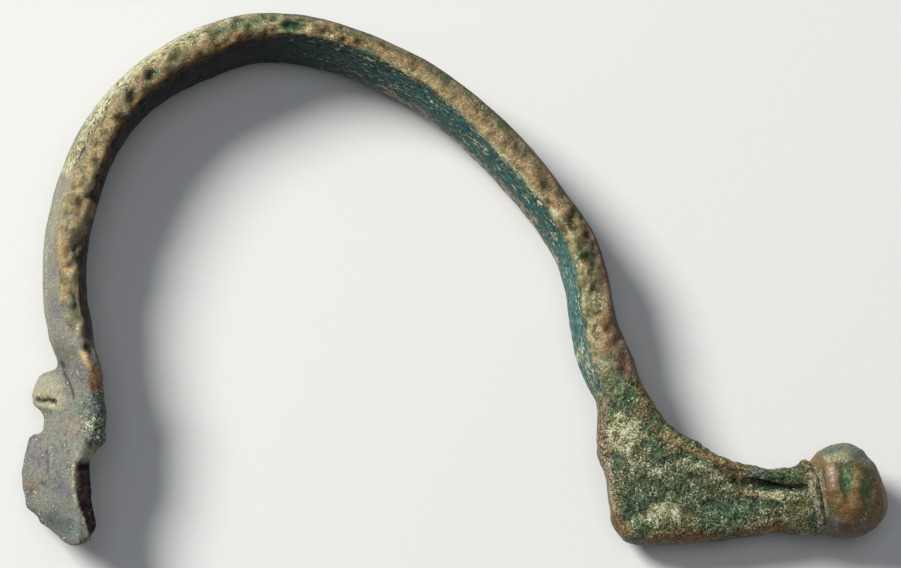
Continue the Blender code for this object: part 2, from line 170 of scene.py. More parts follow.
# Edges that lie a little off the plain solid: corners as right and down, radius, direction
# in degrees turned from the right towards up, move in mm.
BODY_PUSHES = [
    # head, with its left edge, lug, tip, break and brow
    (((24, 448), (25, 456)), 11, 170, -0.12),
    (((24, 492), (25, 499)), 11, -172, -0.15),
    (((40, 520), (46, 526)), 11, -129, -0.15),
    (((38, 378), (32, 392)), 12, 150, -0.18),
    (((58, 349), (60, 357)), 12, -160, 0.17),
    (((53, 531), (81, 540)), 12, -100, 0.15),
    (((95, 464), (94, 478)), 12, -5, -0.35),
    (((94, 493), (96, 522)), 12, 5, -0.2),
    (((107, 394), (108, 403), (109, 425), (101, 448)), 12, 5, -0.22),
    # foot, with its heel, lower edge, upper edge and neck
    (((593, 412), (594, 436)), 16, 178, -0.32),
    (((601, 480), (603, 495), (606, 512)), 16, -172, -0.36),
    (((630, 540), (655, 542), (700, 539), (762, 532)), 12, -88, 0.18),
    (((712, 537), (745, 533)), 12, -84, 0.12),
    (((646, 404), (674, 432), (701, 448)), 12, 50, 0.22),
    (((730, 458), (760, 463)), 12, 80, -0.2),
    (((775, 463), (790, 461)), 12, 96, -0.4),
]

# How far the near edge of the bow's inner side leans into the opening: length along the run,
# then the move, both in mm.
BOW_LIP = (
    (14.0, 0.0), (16.5, 0.1), (19.0, 0.3), (22.0, 0.4), (30.0, 0.35), (35.0, 0.25), (46.0, 0.0),
)

KNOB_PUSHES = [
    (((830, 532), (844, 536)), 24, -102, 0.14), (((866, 527), (880, 512)), 24, -45, 0.25),
    (((876, 458), (884, 474)), 24, 28, -0.34), (((818, 446), (822, 454)), 16, 122, -0.1),
]

KNOB_DENTS = [
    (833, 476, 7, 17, 4, 0.07), (846, 488, 6, 20, 8, -0.17), (856, 484, 6, 12, 24, 0.07),
    (867, 490, 8, 14, 0, -0.16), (852, 510, 13, 8, 8, 0.08), (879, 485, 6, 22, 0, 0.06),
    (848, 461, 12, 6, 20, -0.09), (868, 466, 9, 6, 30, 0.05), (836, 498, 7, 8, 0, -0.08),
    (842, 527, 14, 5, 0, -0.08), (868, 515, 9, 9, 0, -0.05), (860, 452, 14, 5, 0, 0.05),
]

KNOB_STROKES = [
    (((813, 466), (816, 480), (819, 500), (826, 520), (832, 532)), 4.5, 0.12),
    (((822, 470), (825, 492), (832, 514)), 3.0, -0.06),
]

# Patches of colour: right, down, half width, half height, turn in degrees, colour, strength.
BODY_PATCHES = [
    (92, 132, 9, 40, -35, "tan", 0.4), (120, 104, 10, 22, -40, "straw", 0.5),
    (128, 84, 9, 34, -48, "straw", 0.45), (46, 407, 10, 2, 0, "straw", 0.6),
    (64, 250, 6, 26, 3, "rust", 0.7), (84, 215, 10, 26, -14, "tan", 0.6),
    (76, 245, 9, 13, 0, "grey", 0.55), (70, 273, 9, 7, 0, "tan", 0.9),
    (70, 312, 8, 16, 0, "verdigris", 0.55), (74, 340, 10, 16, 0, "grey", 0.5),
    # The dark patches on the next line are painted shade in the hollows along the inner edge of the
    # left limb.
    (87, 320, 5, 26, 6, "dark", 0.85), (88, 348, 6, 7, 0, "dark", 0.9),
    (87, 361, 4.5, 15, 30, "ochre", 0.95), (96, 374, 9, 10, 0, "rust", 0.85),
    (95, 384, 10, 11, 0, "orange", 0.95), (98, 391, 8, 6, 0, "red", 0.7),
    (99, 379, 4, 7, 0, "tan", 0.5), (46, 388, 18, 18, 0, "sand", 1.0), (52, 402, 16, 9, 0, "sand", 0.9),
    (255, 26, 58, 10, 4, "moss", 0.35), (262, 22, 50, 7, 4, "verdigris", 0.35),
    (82, 403, 13, 14, 0, "verdigris", 0.7), (58, 425, 20, 18, 0, "grey", 0.5),
    (70, 428, 12, 12, 0, "pink", 0.35), (98, 420, 13, 30, 0, "slate", 0.9),
    (91, 455, 7, 5, 0, "ochre", 0.9), (38, 455, 8, 14, 0, "lilac", 0.6),
    (62, 492, 9, 10, 0, "lilac", 0.65), (42, 498, 12, 16, 0, "grey", 0.4),
    (31, 485, 6, 7, 0, "rust", 0.45), (58, 524, 22, 12, -25, "slate", 0.7),
    (132, 97, 9, 7, 40, "olive", 0.85), (152, 75, 9, 6, 40, "moss", 0.8),
    (178, 58, 13, 8, 30, "olive", 0.8), (217, 32, 10, 5, 20, "green", 0.8),
    (250, 22, 12, 6, 0, "green", 0.6), (291, 27, 12, 8, 0, "green", 0.95),
    (311, 30, 5, 9, -20, "ochre", 0.7), (200, 48, 14, 6, 30, "rust", 0.6),
    (240, 34, 14, 5, 12, "rust", 0.7), (272, 28, 10, 6, 0, "ochre", 0.6),
    (350, 40, 26, 8, -20, "rust", 0.6), (410, 62, 32, 9, -28, "rust", 0.75),
    (440, 84, 30, 9, -32, "tan", 0.5), (474, 106, 26, 10, -36, "rust", 0.6),
    (445, 74, 12, 6, -30, "green", 0.5), (508, 137, 22, 11, -42, "olive", 0.55),
    (520, 147, 26, 9, -44, "tan", 0.5), (545, 178, 20, 10, -52, "rust", 0.55),
    (565, 213, 7, 9, -30, "tan", 1.0), (580, 235, 12, 16, -60, "olive", 0.6),
    (590, 275, 8, 12, 0, "cream", 0.65), (600, 300, 8, 12, 0, "cream", 0.45),
    (605, 318, 8, 12, 0, "rust", 0.7), (607, 340, 8, 14, 0, "rust", 0.5),
    (586, 262, 5, 8, 0, "rust", 0.6), (604, 362, 10, 7, 0, "verdigris", 0.5),
    (618, 378, 18, 16, 0, "moss", 0.7), (589, 370, 5, 22, 16, "sand", 0.35),
    (580, 354, 4, 10, 0, "cream", 0.4), (646, 400, 8, 22, 24, "rust", 0.6),
    (630, 398, 14, 12, 0, "green", 0.5),
    (622, 436, 24, 20, 20, "cream", 0.85), (607, 470, 7, 50, 5, "pink", 0.7),
    (616, 508, 8, 22, 0, "rust", 0.45), (652, 425, 16, 10, -35, "green", 0.6),
    (640, 468, 26, 14, 0, "olive", 0.4), (636, 488, 24, 12, 0, "moss", 0.7),
    (665, 512, 24, 12, 0, "cream", 0.6), (700, 490, 20, 8, 0, "moss", 0.7),
    (724, 506, 30, 8, 0, "green", 0.8), (720, 505, 22, 9, 0, "verdigris", 0.3),
    (640, 528, 26, 7, 0, "green", 0.6), (686, 536, 40, 6, 0, "rust", 0.85),
    (766, 530, 38, 6, 4, "rust", 0.9),
    (622, 530, 14, 8, -35, "rust", 0.8), (674, 442, 24, 6, -30, "tan", 0.5),
    (718, 460, 30, 5, -22, "rust", 0.6), (700, 470, 26, 6, -20, "straw", 0.6),
    (760, 472, 18, 6, -8, "verdigris", 0.7), (788, 476, 20, 6, 0, "green", 0.8),
    # The dark patch at right 786, down 486 is painted shade in the groove before the collar.
    (786, 486, 24, 4, -5, "dark", 0.8), (762, 495, 32, 4, -7, "straw", 0.85),
    (800, 505, 20, 12, 0, "olive", 0.7), (806, 462, 9, 6, 0, "tan", 0.6),
    (764, 515, 30, 6, 0, "olive", 0.5), (817, 500, 7, 36, 12, "sand", 0.8),
    (800, 522, 16, 6, 0, "moss", 0.6),
]

# Outer edge of the bow at the upper left, drawn with pale lines, as right and down.
SPECKLED_STRIP = (
    (67, 172), (79, 147), (97, 118), (114, 91), (138, 69), (163, 52), (187, 37), (205, 30),
)
# Edge of the break at the head, and the pale lip along it.
BREAK_EDGE = ((76, 440), (74, 466), (75, 490), (79, 505), (85, 520), (91, 545))
BREAK_LIP = ((73, 466), (74, 490), (78, 505), (84, 520), (89, 543))

# Streaks of colour: corners as right and down, half width, colour, strength, change of grains.
BODY_STREAKS = [
    (((50, 236), (55, 212), (61, 190), (70, 165)), 6.5, "straw", 0.25, 0.04),
    (SPECKLED_STRIP, 7.5, "straw", 0.8, 0.24),
    (((74, 170), (92, 130), (117, 98), (146, 74)), 5.0, "grey", 0.7, -0.2),
    (((85, 165), (101, 128), (124, 102), (140, 86)), 6.0, "tan", 0.75, -0.05),
    (((99, 160), (112, 130), (130, 106), (150, 84), (172, 66)), 4.0, "olive", 0.45, 0.0),
    (((98, 164), (115, 128), (139, 99), (169, 73), (202, 53), (238, 39), (275, 35)),
     3.5, "rust", 0.5, 0.0),
    (((64, 205), (61, 240), (62, 275), (65, 300)), 4.0, "tan", 0.55, -0.2),
    (((371, 45), (397, 62), (431, 85), (464, 112), (497, 145), (527, 176), (555, 206)),
     6.5, "rust", 0.55, -0.1),
    (((373, 42), (399, 59), (433, 82), (466, 109), (499, 142), (529, 173), (556, 203)),
     4.0, "tan", 0.55, -0.05),
    (((376, 36), (402, 52), (436, 75), (470, 103), (503, 136), (533, 167), (560, 197)),
     5.0, "pink", 0.6, 0.0),
    (((383, 57), (430, 83), (463, 113), (490, 140), (510, 163), (537, 193), (563, 221)),
     3.4, "straw", 0.7, 0.3),
    (((563, 221), (573, 240), (580, 273), (583, 307), (590, 342)), 3.4, "straw", 0.7, 0.3),
    (((383, 92), (417, 111), (450, 138), (483, 168), (510, 194), (533, 221)), 5.5, "pink", 0.6, 0.15),
    (((345, 32), (380, 43), (420, 62), (460, 90), (500, 124), (530, 158), (552, 190)),
     3.2, "moss", 0.75, 0.0),
    # The purple streak is painted shade along the right limb's outer edge.
    (((592, 230), (603, 262), (611, 300), (617, 342), (628, 370)), 9.0, "purple", 1.0, -0.3),
    (((600, 424), (603, 450), (606, 480), (610, 512)), 4.0, "pink", 0.6, -0.1),
    (((46, 240), (44, 290), (48, 335), (56, 362)), 4.0, "straw", 0.15, 0.12),
    # The dark streak is painted shade in the lug's slit.
    (((37, 398), (42, 400), (47, 399), (54, 401)), 2.8, "dark", 1.0, -0.3),
    (((38, 405), (46, 406), (55, 406)), 2.4, "cream", 0.6, 0.0),
    (((62, 364), (66, 378), (70, 388), (73, 397)), 2.4, "slate", 0.9, 0.1),
    (((104, 108), (122, 88), (142, 70), (160, 58)), 8.0, "tan", 0.45, 0.0),
    (((636, 408), (656, 430), (686, 449), (714, 460), (744, 471)), 5.0, "rust", 0.35, -0.05),
    (((644, 404), (668, 424), (700, 444), (730, 458)), 3.0, "olive", 0.6, -0.1),
    (((650, 541), (690, 538), (720, 534)), 4.0, "orange", 0.6, -0.2),
    (((606, 400), (602, 430), (604, 470), (610, 510)), 5.0, "pink", 0.8, -0.2),
]

# The pink patch at right 833, down 478 is pink brown skin on a raised band with a painted highlight on
# it; the cream patch at 838, 457 is a painted highlight on the knob's upper left.
KNOB_PATCHES = [
    (845, 451, 30, 11, 0, "verdigris", 0.75), (838, 457, 16, 6, 10, "cream", 0.55),
    (850, 446, 10, 5, 0, "pink", 0.5), (872, 474, 9, 10, 0, "olive", 0.7),
    (833, 478, 7, 16, 6, "pink", 0.9), (846, 480, 6, 20, 8, "green", 0.75),
    (858, 480, 7, 12, 20, "straw", 0.6), (867, 492, 8, 13, 0, "green", 0.8),
    (880, 492, 8, 30, 0, "orange", 0.65), (850, 510, 18, 9, 0, "orange", 0.8),
    (862, 478, 8, 6, 0, "olive", 0.6), (872, 505, 8, 10, 0, "pink", 0.35),
    # The purple patch on the next line is painted shade on the knob's underside.
    (866, 462, 12, 7, -20, "pink", 0.6), (848, 530, 26, 7, 0, "purple", 0.8),
    (836, 508, 7, 12, 0, "olive", 0.5), (819, 500, 7, 38, 14, "sand", 0.9),
    (834, 524, 8, 10, 0, "lilac", 0.4), (852, 468, 16, 5, 10, "olive", 0.5),
]

# How much a patch of a colour adds to the share of pale grains on it.
GRAIN_SHIFT = {"cream": 0.34, "sand": 0.12, "straw": 0.15, "green": -0.15, "dark": -0.25, "lilac": -0.1}
# Colour of the ground under a patch, where it isn't the patch's own.
GROUND = {"cream": "straw"}


def metres(name, text, value):
    return FloatProperty(name=name, description=text, default=value, unit="LENGTH", precision=6)


class BroochSizes(bpy.types.PropertyGroup):
    skin: metres("Skin Fineness", "Edge of the small cells of the body's skin", 0.000143)
    knob_skin: metres("Knob Fineness", "Edge of the small cells of the knob's skin", 0.00007)
    swell: metres("Slow Swell", "Height of the slow waves in the metal", 0.00004)
    crust: metres("Crust Height", "Height of the fine corrosion crust", 0.00004)
    lump: metres("Lump Height", "Height of the lumps along the near edge of the bow", 0.00015)
    pit: metres("Pit Depth", "Depth of the scattered small pits", 0.00012)
    highest: metres("Highest Relief", "Limit of the relief above the plain metal", 0.00018)
    pits: IntProperty(name="Pits", description="Number of small pits on the body", default=420)
    seed: IntProperty(name="Seed", description="Start of the scatter of pits", default=11)


def tint(name, text, colour):
    return FloatVectorProperty(name=name, description=text, subtype="COLOR", default=colour)


class BroochColours(bpy.types.PropertyGroup):
    grey: tint("Grey Skin", "Smooth grey green skin of the outer face", (0.140, 0.138, 0.110))
    lilac: tint("Lilac Skin", "Violet tint in the grey skin", (0.095, 0.088, 0.112))
    tan: tint("Tan", "Rubbed metal on ridges and edges", (0.235, 0.175, 0.085))
    straw: tint("Straw", "Pale yellow brown crust", (0.262, 0.243, 0.125))
    ochre: tint("Ochre", "Yellow ochre spots", (0.330, 0.240, 0.105))
    rust: tint("Rust", "Orange brown oxide on worn edges", (0.170, 0.085, 0.030))
    orange: tint("Orange", "Warm bronze colour where the skin is thin", (0.135, 0.072, 0.032))
    red: tint("Red", "Deep copper red oxide", (0.120, 0.042, 0.022))
    olive: tint("Olive", "Brown green patina", (0.070, 0.066, 0.022))
    moss: tint("Moss", "Dark mixed green", (0.036, 0.066, 0.030))
    green: tint("Green", "Clear green patina", (0.030, 0.084, 0.035))
    teal: tint("Teal", "Blue green patina inside the bow", (0.018, 0.080, 0.072))
    verdigris: tint("Verdigris", "Pale blue green bloom", (0.092, 0.135, 0.105))
    slate: tint("Slate", "Dark blue grey skin", (0.040, 0.056, 0.056))
    cream: tint("Cream", "Pale mineral grains", (0.440, 0.460, 0.300))
    sand: tint("Sand", "Beige crust", (0.215, 0.205, 0.140))
    pink: tint("Pink Brown", "Pinkish brown worn skin", (0.175, 0.125, 0.088))
    # Purple Brown is painted shade, laid on sides that turn away from the light: low on the right
    # limb's outer face, along its outer edge, and under the knob.
    purple: tint("Purple Brown", "Purple brown oxide low on the outer face", (0.072, 0.042, 0.030))
    # Dark is painted shade: near black laid in hollows, in the groove before the collar, in the lug's
    # slit and on the shaded inner face.
    dark: tint("Dark", "Brown black in hollows", (0.020, 0.015, 0.009))
    broken: tint("Break", "Dark red brown metal in the break", (0.009, 0.004, 0.004))
    floor: tint("Floor", "Pale floor", (0.52, 0.52, 0.51))


# Measures


def smooth_step(low, high, value):
    t = np.clip((value - low) / (high - low), 0.0, 1.0)
    return t * t * (3.0 - 2.0 * t)


def hill(value, middle, half):
    """Soft hill: 1 at the middle, 0 beyond half."""
    return smooth_step(1.0, 0.0, np.abs(value - middle) / half)


def fine_run():
    """Close points along the middle line in metres, and the length at each."""
    points = (np.array(RUN) * BROOCH_LENGTH + np.array(RUN_CORNER)) * MM
    knots = np.r_[0.0, np.cumsum(np.linalg.norm(np.diff(points, axis=0), axis=1))]
    lean = np.gradient(points, knots, axis=0)
    fine = np.linspace(0.0, knots[-1], RUN_STEPS)
    cell = np.clip(np.searchsorted(knots, fine) - 1, 0, len(knots) - 2)
    gap = knots[cell + 1] - knots[cell]
    t = ((fine - knots[cell]) / gap)[:, None]
    gap = gap[:, None]
    line = ((1 + 2 * t) * (1 - t) ** 2 * points[cell] + t * (1 - t) ** 2 * gap * lean[cell]
            + t ** 2 * (3 - 2 * t) * points[cell + 1] + t ** 2 * (t - 1) * gap * lean[cell + 1])
    length = np.r_[0.0, np.cumsum(np.linalg.norm(np.diff(line, axis=0), axis=1))]
    return line, length


def mesh_arrays(mesh):
    places = np.zeros(len(mesh.vertices) * 3)
    mesh.vertices.foreach_get("co", places)
    normals = np.zeros(len(mesh.vertices) * 3)
    mesh.vertex_normals.foreach_get("vector", normals)
    return places.reshape(-1, 3), normals.reshape(-1, 3)


class Surface:
    """Where each point of a skin lies in the view and, for the body, along the middle line."""

    def __init__(self, mesh):
        self.place, self.normal = mesh_arrays(mesh)
        offset = self.place - np.array(EYE)
        depth = -offset @ np.array(BACK)
        focal = VIEW_DISTANCE / PICTURE_STEP
        self.right = PICTURE_SIZE[0] / 2 + focal * (offset @ np.array(RIGHT)) / depth
        self.down = PICTURE_SIZE[1] / 2 - focal * (offset @ np.array(UP)) / depth
        self.seen = smooth_step(-0.05, 0.15, self.normal @ np.array(BACK))
        self.high = self.place[:, 2] / MM
        self.face_near = self.normal[:, 2]

    def follow_run(self):
        """Length along the middle line, distance outwards from it, and what faces outwards."""
        line, length = fine_run()
        tree = kdtree.KDTree(len(line))
        for i, p in enumerate(line):
            tree.insert((p[0], p[1], 0.0), i)
        tree.balance()
        nearest = np.array([tree.find((p[0], p[1], 0.0))[1] for p in self.place])
        along = np.gradient(line, axis=0)
        along /= np.linalg.norm(along, axis=1)[:, None]
        forward = along[nearest]
        outward = np.column_stack([-forward[:, 1], forward[:, 0]])
        self.outward = np.column_stack([outward, np.zeros(len(outward))])
        gap = self.place[:, :2] - line[nearest]
        self.run = (length[nearest] + np.sum(gap * forward, axis=1)) / MM
        self.out = np.sum(gap * outward, axis=1) / MM
        self.face_out = np.sum(self.normal[:, :2] * outward, axis=1)

    def dent(self, right, down, wide, tall, turn):
        """Soft oval mark as seen in the view, 1 in its middle."""
        across, up = math.cos(math.radians(turn)), math.sin(math.radians(turn))
        x, y = self.right - right, self.down - down
        gap = np.hypot((x * across - y * up) / wide, (x * up + y * across) / tall)
        return smooth_step(1.25, 0.15, gap) * self.seen

    def gap_to(self, corners):
        """Distance of each point from a bent line as seen in the view."""
        best = np.full(len(self.right), 1e9)
        for (x0, y0), (x1, y1) in zip(corners[:-1], corners[1:]):
            dx, dy = x1 - x0, y1 - y0
            t = ((self.right - x0) * dx + (self.down - y0) * dy) / (dx * dx + dy * dy)
            t = np.clip(t, 0.0, 1.0)
            best = np.minimum(best, np.hypot(self.right - x0 - t * dx, self.down - y0 - t * dy))
        return best

    def stroke(self, corners, half):
        """Soft line as seen in the view, 1 along its middle."""
        return smooth_step(1.0, 0.1, self.gap_to(corners) / half) * self.seen


def noise_field(places, size, seed, octaves):
    """Smooth noise around 0, mostly within -1 to 1, whose lumps are as wide as size."""
    offset = Vector((seed * 7.31, seed * 3.17, seed * 5.77))
    raw = np.array([noise.fractal(Vector(p) / size + offset, 0.9, 2.0, octaves) for p in places])
    return np.clip(raw / (raw.std() * 1.3), -2.0, 2.0)


def cell_field(places, size, seed):
    """Distance to the nearest cell point: 0 in its middle, about 1 at the cell's border."""
    offset = Vector((seed * 2.93, seed * 8.11, seed * 1.37))
    return np.array([noise.voronoi(Vector(p) / size + offset)[0][0] for p in places])


# Skins


def fine_skin(node, name, cell, rounds):
    """Even fine mesh over a copy of a plain solid."""
    bm = bmesh.new()
    bm.from_mesh(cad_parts[node].data)
    bmesh.ops.remove_doubles(bm, verts=bm.verts[:], dist=1e-6)
    bmesh.ops.recalc_face_normals(bm, faces=bm.faces[:])
    mesh = bpy.data.meshes.new(name + "_plain")
    bm.to_mesh(mesh)
    bm.free()
    plain = bpy.data.objects.new(name + "_plain", mesh)
    bpy.context.scene.collection.objects.link(plain)
    cells = plain.modifiers.new("cells", "REMESH")
    cells.mode = "VOXEL"
    cells.voxel_size = cell
    ease = plain.modifiers.new("ease", "SMOOTH")
    ease.factor = 0.5
    ease.iterations = rounds
    graph = bpy.context.evaluated_depsgraph_get()
    skin = bpy.data.meshes.new_from_object(plain.evaluated_get(graph))
    bpy.data.objects.remove(plain, do_unlink=True)
    bpy.data.meshes.remove(mesh)
    skin.name = name
    skin.materials.clear()
    piece = bpy.data.objects.new(name, skin)
    bpy.context.scene.collection.objects.link(piece)
    return piece


def set_places(mesh, places):
    mesh.vertices.foreach_set("co", np.asarray(places, np.float32).ravel())
    mesh.update()


def store(mesh, name, kind, values):
    """Keep a value for each point in an attribute."""
    layer = mesh.attributes.new(name, kind, "POINT")
    field = {"FLOAT": "value", "FLOAT_VECTOR": "vector", "FLOAT_COLOR": "color"}[kind]
    layer.data.foreach_set(field, np.asarray(values, np.float32).ravel())


def store_looks(mesh, paint, grains, coarse, flow, streaked):
    """Attributes that the patina materials read."""
    store(mesh, "patina", "FLOAT_COLOR", np.column_stack([paint, np.ones(len(paint))]))
    store(mesh, "grains", "FLOAT", grains)
    store(mesh, "coarse", "FLOAT", coarse)
    store(mesh, "flow", "FLOAT_VECTOR", flow)
    store(mesh, "streaked", "FLOAT", streaked)


def eased(mesh, values, rounds):
    """Values evened out over the mesh's edges."""
    pairs = np.zeros(len(mesh.edges) * 2, np.int32)
    mesh.edges.foreach_get("vertices", pairs)
    a, b = pairs[0::2], pairs[1::2]
    size = len(mesh.vertices)
    count = np.bincount(np.r_[a, b], minlength=size).astype(float)
    columns = []
    for column in np.atleast_2d(np.asarray(values, float).T):
        for _ in range(rounds):
            total = np.bincount(a, column[b], size) + np.bincount(b, column[a], size)
            column = 0.5 * column + 0.5 * total / count
        columns.append(column)
    return np.array(columns).T.squeeze()


def hollowness(mesh, rounds):
    """How far each point lies below its evened surroundings, in mm; negative on ridges."""
    places, normals = mesh_arrays(mesh)
    return np.sum((eased(mesh, places, rounds) - places) * normals, axis=1) / MM


def softened(mesh, weight, rounds):
    """Places of the mesh with folds evened out where the weight is high."""
    places = mesh_arrays(mesh)[0]
    return places + (eased(mesh, places, rounds) - places) * weight[:, None]


def without_spikes(mesh):
    """Places of the mesh with single points that stick out laid back."""
    places = mesh_arrays(mesh)[0]
    calm = eased(mesh, places, rounds=3)
    gap = np.linalg.norm(places - calm, axis=1) / MM
    return places + (calm - places) * smooth_step(0.035, 0.07, gap)[:, None]


def scattered(s, weight, count, seed, smallest, largest):
    """Soft round marks of mixed sizes strewn where the weight is high."""
    rng = random.Random(seed)
    tries = 12 * count
    tree = kdtree.KDTree(len(s.place))
    for i, p in enumerate(s.place):
        tree.insert(p, i)
    tree.balance()
    marks = np.zeros(len(s.place))
    placed = 0
    for _ in range(tries):
        i = rng.randrange(len(s.place))
        if rng.random() > weight[i]:
            continue
        radius = smallest + (largest - smallest) * rng.random() ** 2
        depth = 0.4 + 0.6 * rng.random()
        for _, j, gap in tree.find_range(s.place[i], radius):
            t = 1.0 - gap / radius
            marks[j] = max(marks[j], depth * t * t * (3.0 - 2.0 * t))
        placed += 1
        if placed == count:
            break
    return marks


class Zones:
    """Weights of the parts of the body's skin, 0 to 1."""

    def __init__(self, s):
        past_head = smooth_step(*HEAD_TO_BOW, s.run)
        self.foot = smooth_step(*BOW_TO_FOOT, s.run)
        self.head = 1.0 - past_head
        self.bow = past_head * (1.0 - self.foot)
        self.near = smooth_step(0.45, 0.8, s.face_near)
        rest = 1.0 - self.near
        self.outer = smooth_step(0.2, 0.6, s.face_out) * rest
        self.inner = smooth_step(0.2, 0.6, -s.face_out) * rest
        self.far = smooth_step(-0.2, -0.6, s.face_near)
        # edge of the near face towards the inside of the bow
        self.rim = hill(s.face_near, 0.62, 0.36) * smooth_step(0.1, 0.5, -s.face_out) * self.bow
        right, down = np.array(BREAK_EDGE).T
        border = np.interp(s.down, down, right)
        below = smooth_step(461.0, 465.0, s.down)
        self.wall = smooth_step(-0.5, 1.5, s.right - border) * below * self.head
        self.wall *= smooth_step(-0.6, -0.2, s.face_near)
        self.brow = smooth_step(76.0, 84.0, s.right) * hill(s.down, 422.0, 44.0) * self.head
        self.brow *= smooth_step(-0.5, 0.1, s.face_near)


def flow_places(s):
    """Coordinates that run slowly along the body, so that noise read there makes streaks."""
    return np.column_stack([s.run * 0.35, s.high, s.out]) * MM


def marks_of(s, dents, strokes):
    """Heights of the hollows, swellings, grooves and ribs named in two lists."""
    height = np.zeros(len(s.place))
    for right, down, wide, tall, turn, rise in dents:
        height += rise * MM * s.dent(right, down, wide, tall, turn)
    for corners, half, rise in strokes:
        height += rise * MM * s.stroke(corners, half)
    return height


def body_relief(s, z, sizes):
    """Heights of the crust, lumps, pits, grooves and the break, along the normals."""
    swell = noise_field(s.place, 2.8 * MM, seed=1, octaves=2)
    medium = noise_field(s.place, 1.25 * MM, seed=2, octaves=2)
    small = noise_field(s.place, 0.62 * MM, seed=3, octaves=3)
    fine = noise_field(s.place, 0.34 * MM, seed=5, octaves=2)
    streak = noise_field(flow_places(s), 0.26 * MM, seed=6, octaves=2)
    lumps = cell_field(s.place, 1.3 * MM, seed=4)
    band = z.near * z.bow
    calm = smooth_step(330.0, 370.0, s.right) * smooth_step(200.0, 160.0, s.down)
    bitten = smooth_step(260.0, 200.0, s.right) * smooth_step(110.0, 150.0, s.right) * z.bow
    level = smooth_step(-0.1, 0.5, s.face_near)
    crusty = np.clip(0.15 + 0.7 * band + 0.95 * z.foot * level + 0.15 * z.head + 0.8 * z.brow, 0, 1.3)

    height = sizes.swell * swell * (0.5 + 0.5 * band + 0.5 * z.foot)
    height += sizes.lump * (0.8 * medium + 1.5 * (0.40 - lumps)) * band * (1.0 - 0.65 * calm)
    height += sizes.crust * (
        small * crusty
        + 0.55 * fine * np.clip(crusty + 0.6 * z.wall, 0.0, 1.4)
        + 0.6 * medium * (0.7 * z.head + z.foot)
        + 0.22 * streak * (z.inner + 0.5 * z.outer) * z.bow
        + 0.8 * (0.6 + medium) * z.rim
        + (0.15 + 1.2 * bitten) * medium * smooth_step(0.3, -0.3, s.face_near))
    height += marks_of(s, BODY_DENTS, BODY_STROKES)
    height -= 0.10 * MM * z.wall * smooth_step(0.3, 0.7, s.face_near)
    # the collar's end grows towards the knob
    height += END_GROWTH * smooth_step(0.6, 0.95, s.normal @ AXIS) * smooth_step(86.0, 89.0, s.run)
    pitted = (0.10 + 0.9 * z.near) * (z.bow + 0.2 * z.head + 0.9 * z.foot)
    pitted *= smooth_step(-0.3, 0.2, s.face_near) * (1.0 - 0.6 * calm)
    height -= sizes.pit * scattered(s, pitted, sizes.pits, sizes.seed,
                                    smallest=0.18 * MM, largest=0.5 * MM)
    return np.minimum(height, sizes.highest)


def shifted(s, shifts):
    """Places moved by slow shifts of the whole thickness."""
    places = s.place.copy()
    for right, down, radius, across, up in shifts:
        gap = np.hypot(s.right - right, s.down - down) / radius
        weight = smooth_step(1.4, 0.0, gap)
        places[:, 0] += across * MM * weight
        places[:, 1] += up * MM * weight
    return places


def trims_of(s):
    """Moves of the bow's outer and inner sides, and of the lip along the inner side's near edge."""
    run, outer, inner = np.array(BOW_TRIMS).T
    outer_move = np.interp(s.run, run, outer) * smooth_step(-0.2, 0.6, s.face_out)
    inner_move = np.interp(s.run, run, inner) * smooth_step(-0.2, 0.6, -s.face_out)
    run, lean = np.array(BOW_LIP).T
    near_edge = smooth_step(0.1, 0.6, -s.face_out) * smooth_step(2.0, 5.8, s.high)
    inner_move += np.interp(s.run, run, lean) * near_edge
    return s.outward * ((outer_move - inner_move) * MM)[:, None]


def pushes_of(s, pushes):
    """Moves of the edges named in a list, on the side that faces each direction."""
    moves = np.zeros(s.place.shape)
    for corners, radius, toward, move in pushes:
        side = np.array((math.cos(math.radians(toward)), math.sin(math.radians(toward)), 0.0))
        weight = smooth_step(1.4, 0.0, s.gap_to(corners) / radius)
        weight *= smooth_step(-0.2, 0.6, s.normal @ side)
        moves += side * (weight * move * MM)[:, None]
    return moves


def lay(paint, colour, mask):
    """Paint with a colour laid over it where the mask is high."""
    return paint + (np.array(colour) - paint) * np.clip(mask, 0.0, 1.0)[:, None]


def ragged(mask, field):
    """Mask with a border that a noise field makes ragged."""
    return smooth_step(0.12, 0.85, mask + 0.45 * field * smooth_step(0.0, 0.3, mask))


def mixed(first, second, weight):
    return first * (1.0 - weight[:, None]) + second * weight[:, None]


def plain(s, colour):
    return np.tile(np.array(colour), (len(s.place), 1))


def blended(tones, **shares):
    """Colour made of shares of the named tones."""
    return sum(share * np.array(tones[name]) for name, share in shares.items())


def layered(paint, tones, layers):
    """Paint with colours laid over it in turn, each a tone's name or a colour, and its mask."""
    for colour, mask in layers:
        paint = lay(paint, tones[colour] if isinstance(colour, str) else colour, mask)
    return paint


def patched(paint, grains, s, patches, rough, tones):
    """Paint and share of grains with ragged oval patches laid over them."""
    for right, down, wide, tall, turn, name, strength in patches:
        mask = ragged(s.dent(right, down, 1.2 * wide, 1.2 * tall, turn), rough)
        paint = lay(paint, tones[GROUND.get(name, name)], strength * mask)
        grains = grains + mask * GRAIN_SHIFT.get(name, 0.0)
    return paint, grains


class Clouds:
    """Noise that varies the body's colours: wide, middling and small lumps, and streaks."""

    def __init__(self, s):
        self.wide = noise_field(s.place, 1.7 * MM, seed=21, octaves=3)
        self.mid = noise_field(s.place, 0.8 * MM, seed=22, octaves=3)
        self.small = noise_field(s.place, 0.36 * MM, seed=23, octaves=2)
        self.streak = noise_field(flow_places(s), 0.4 * MM, seed=24, octaves=3)


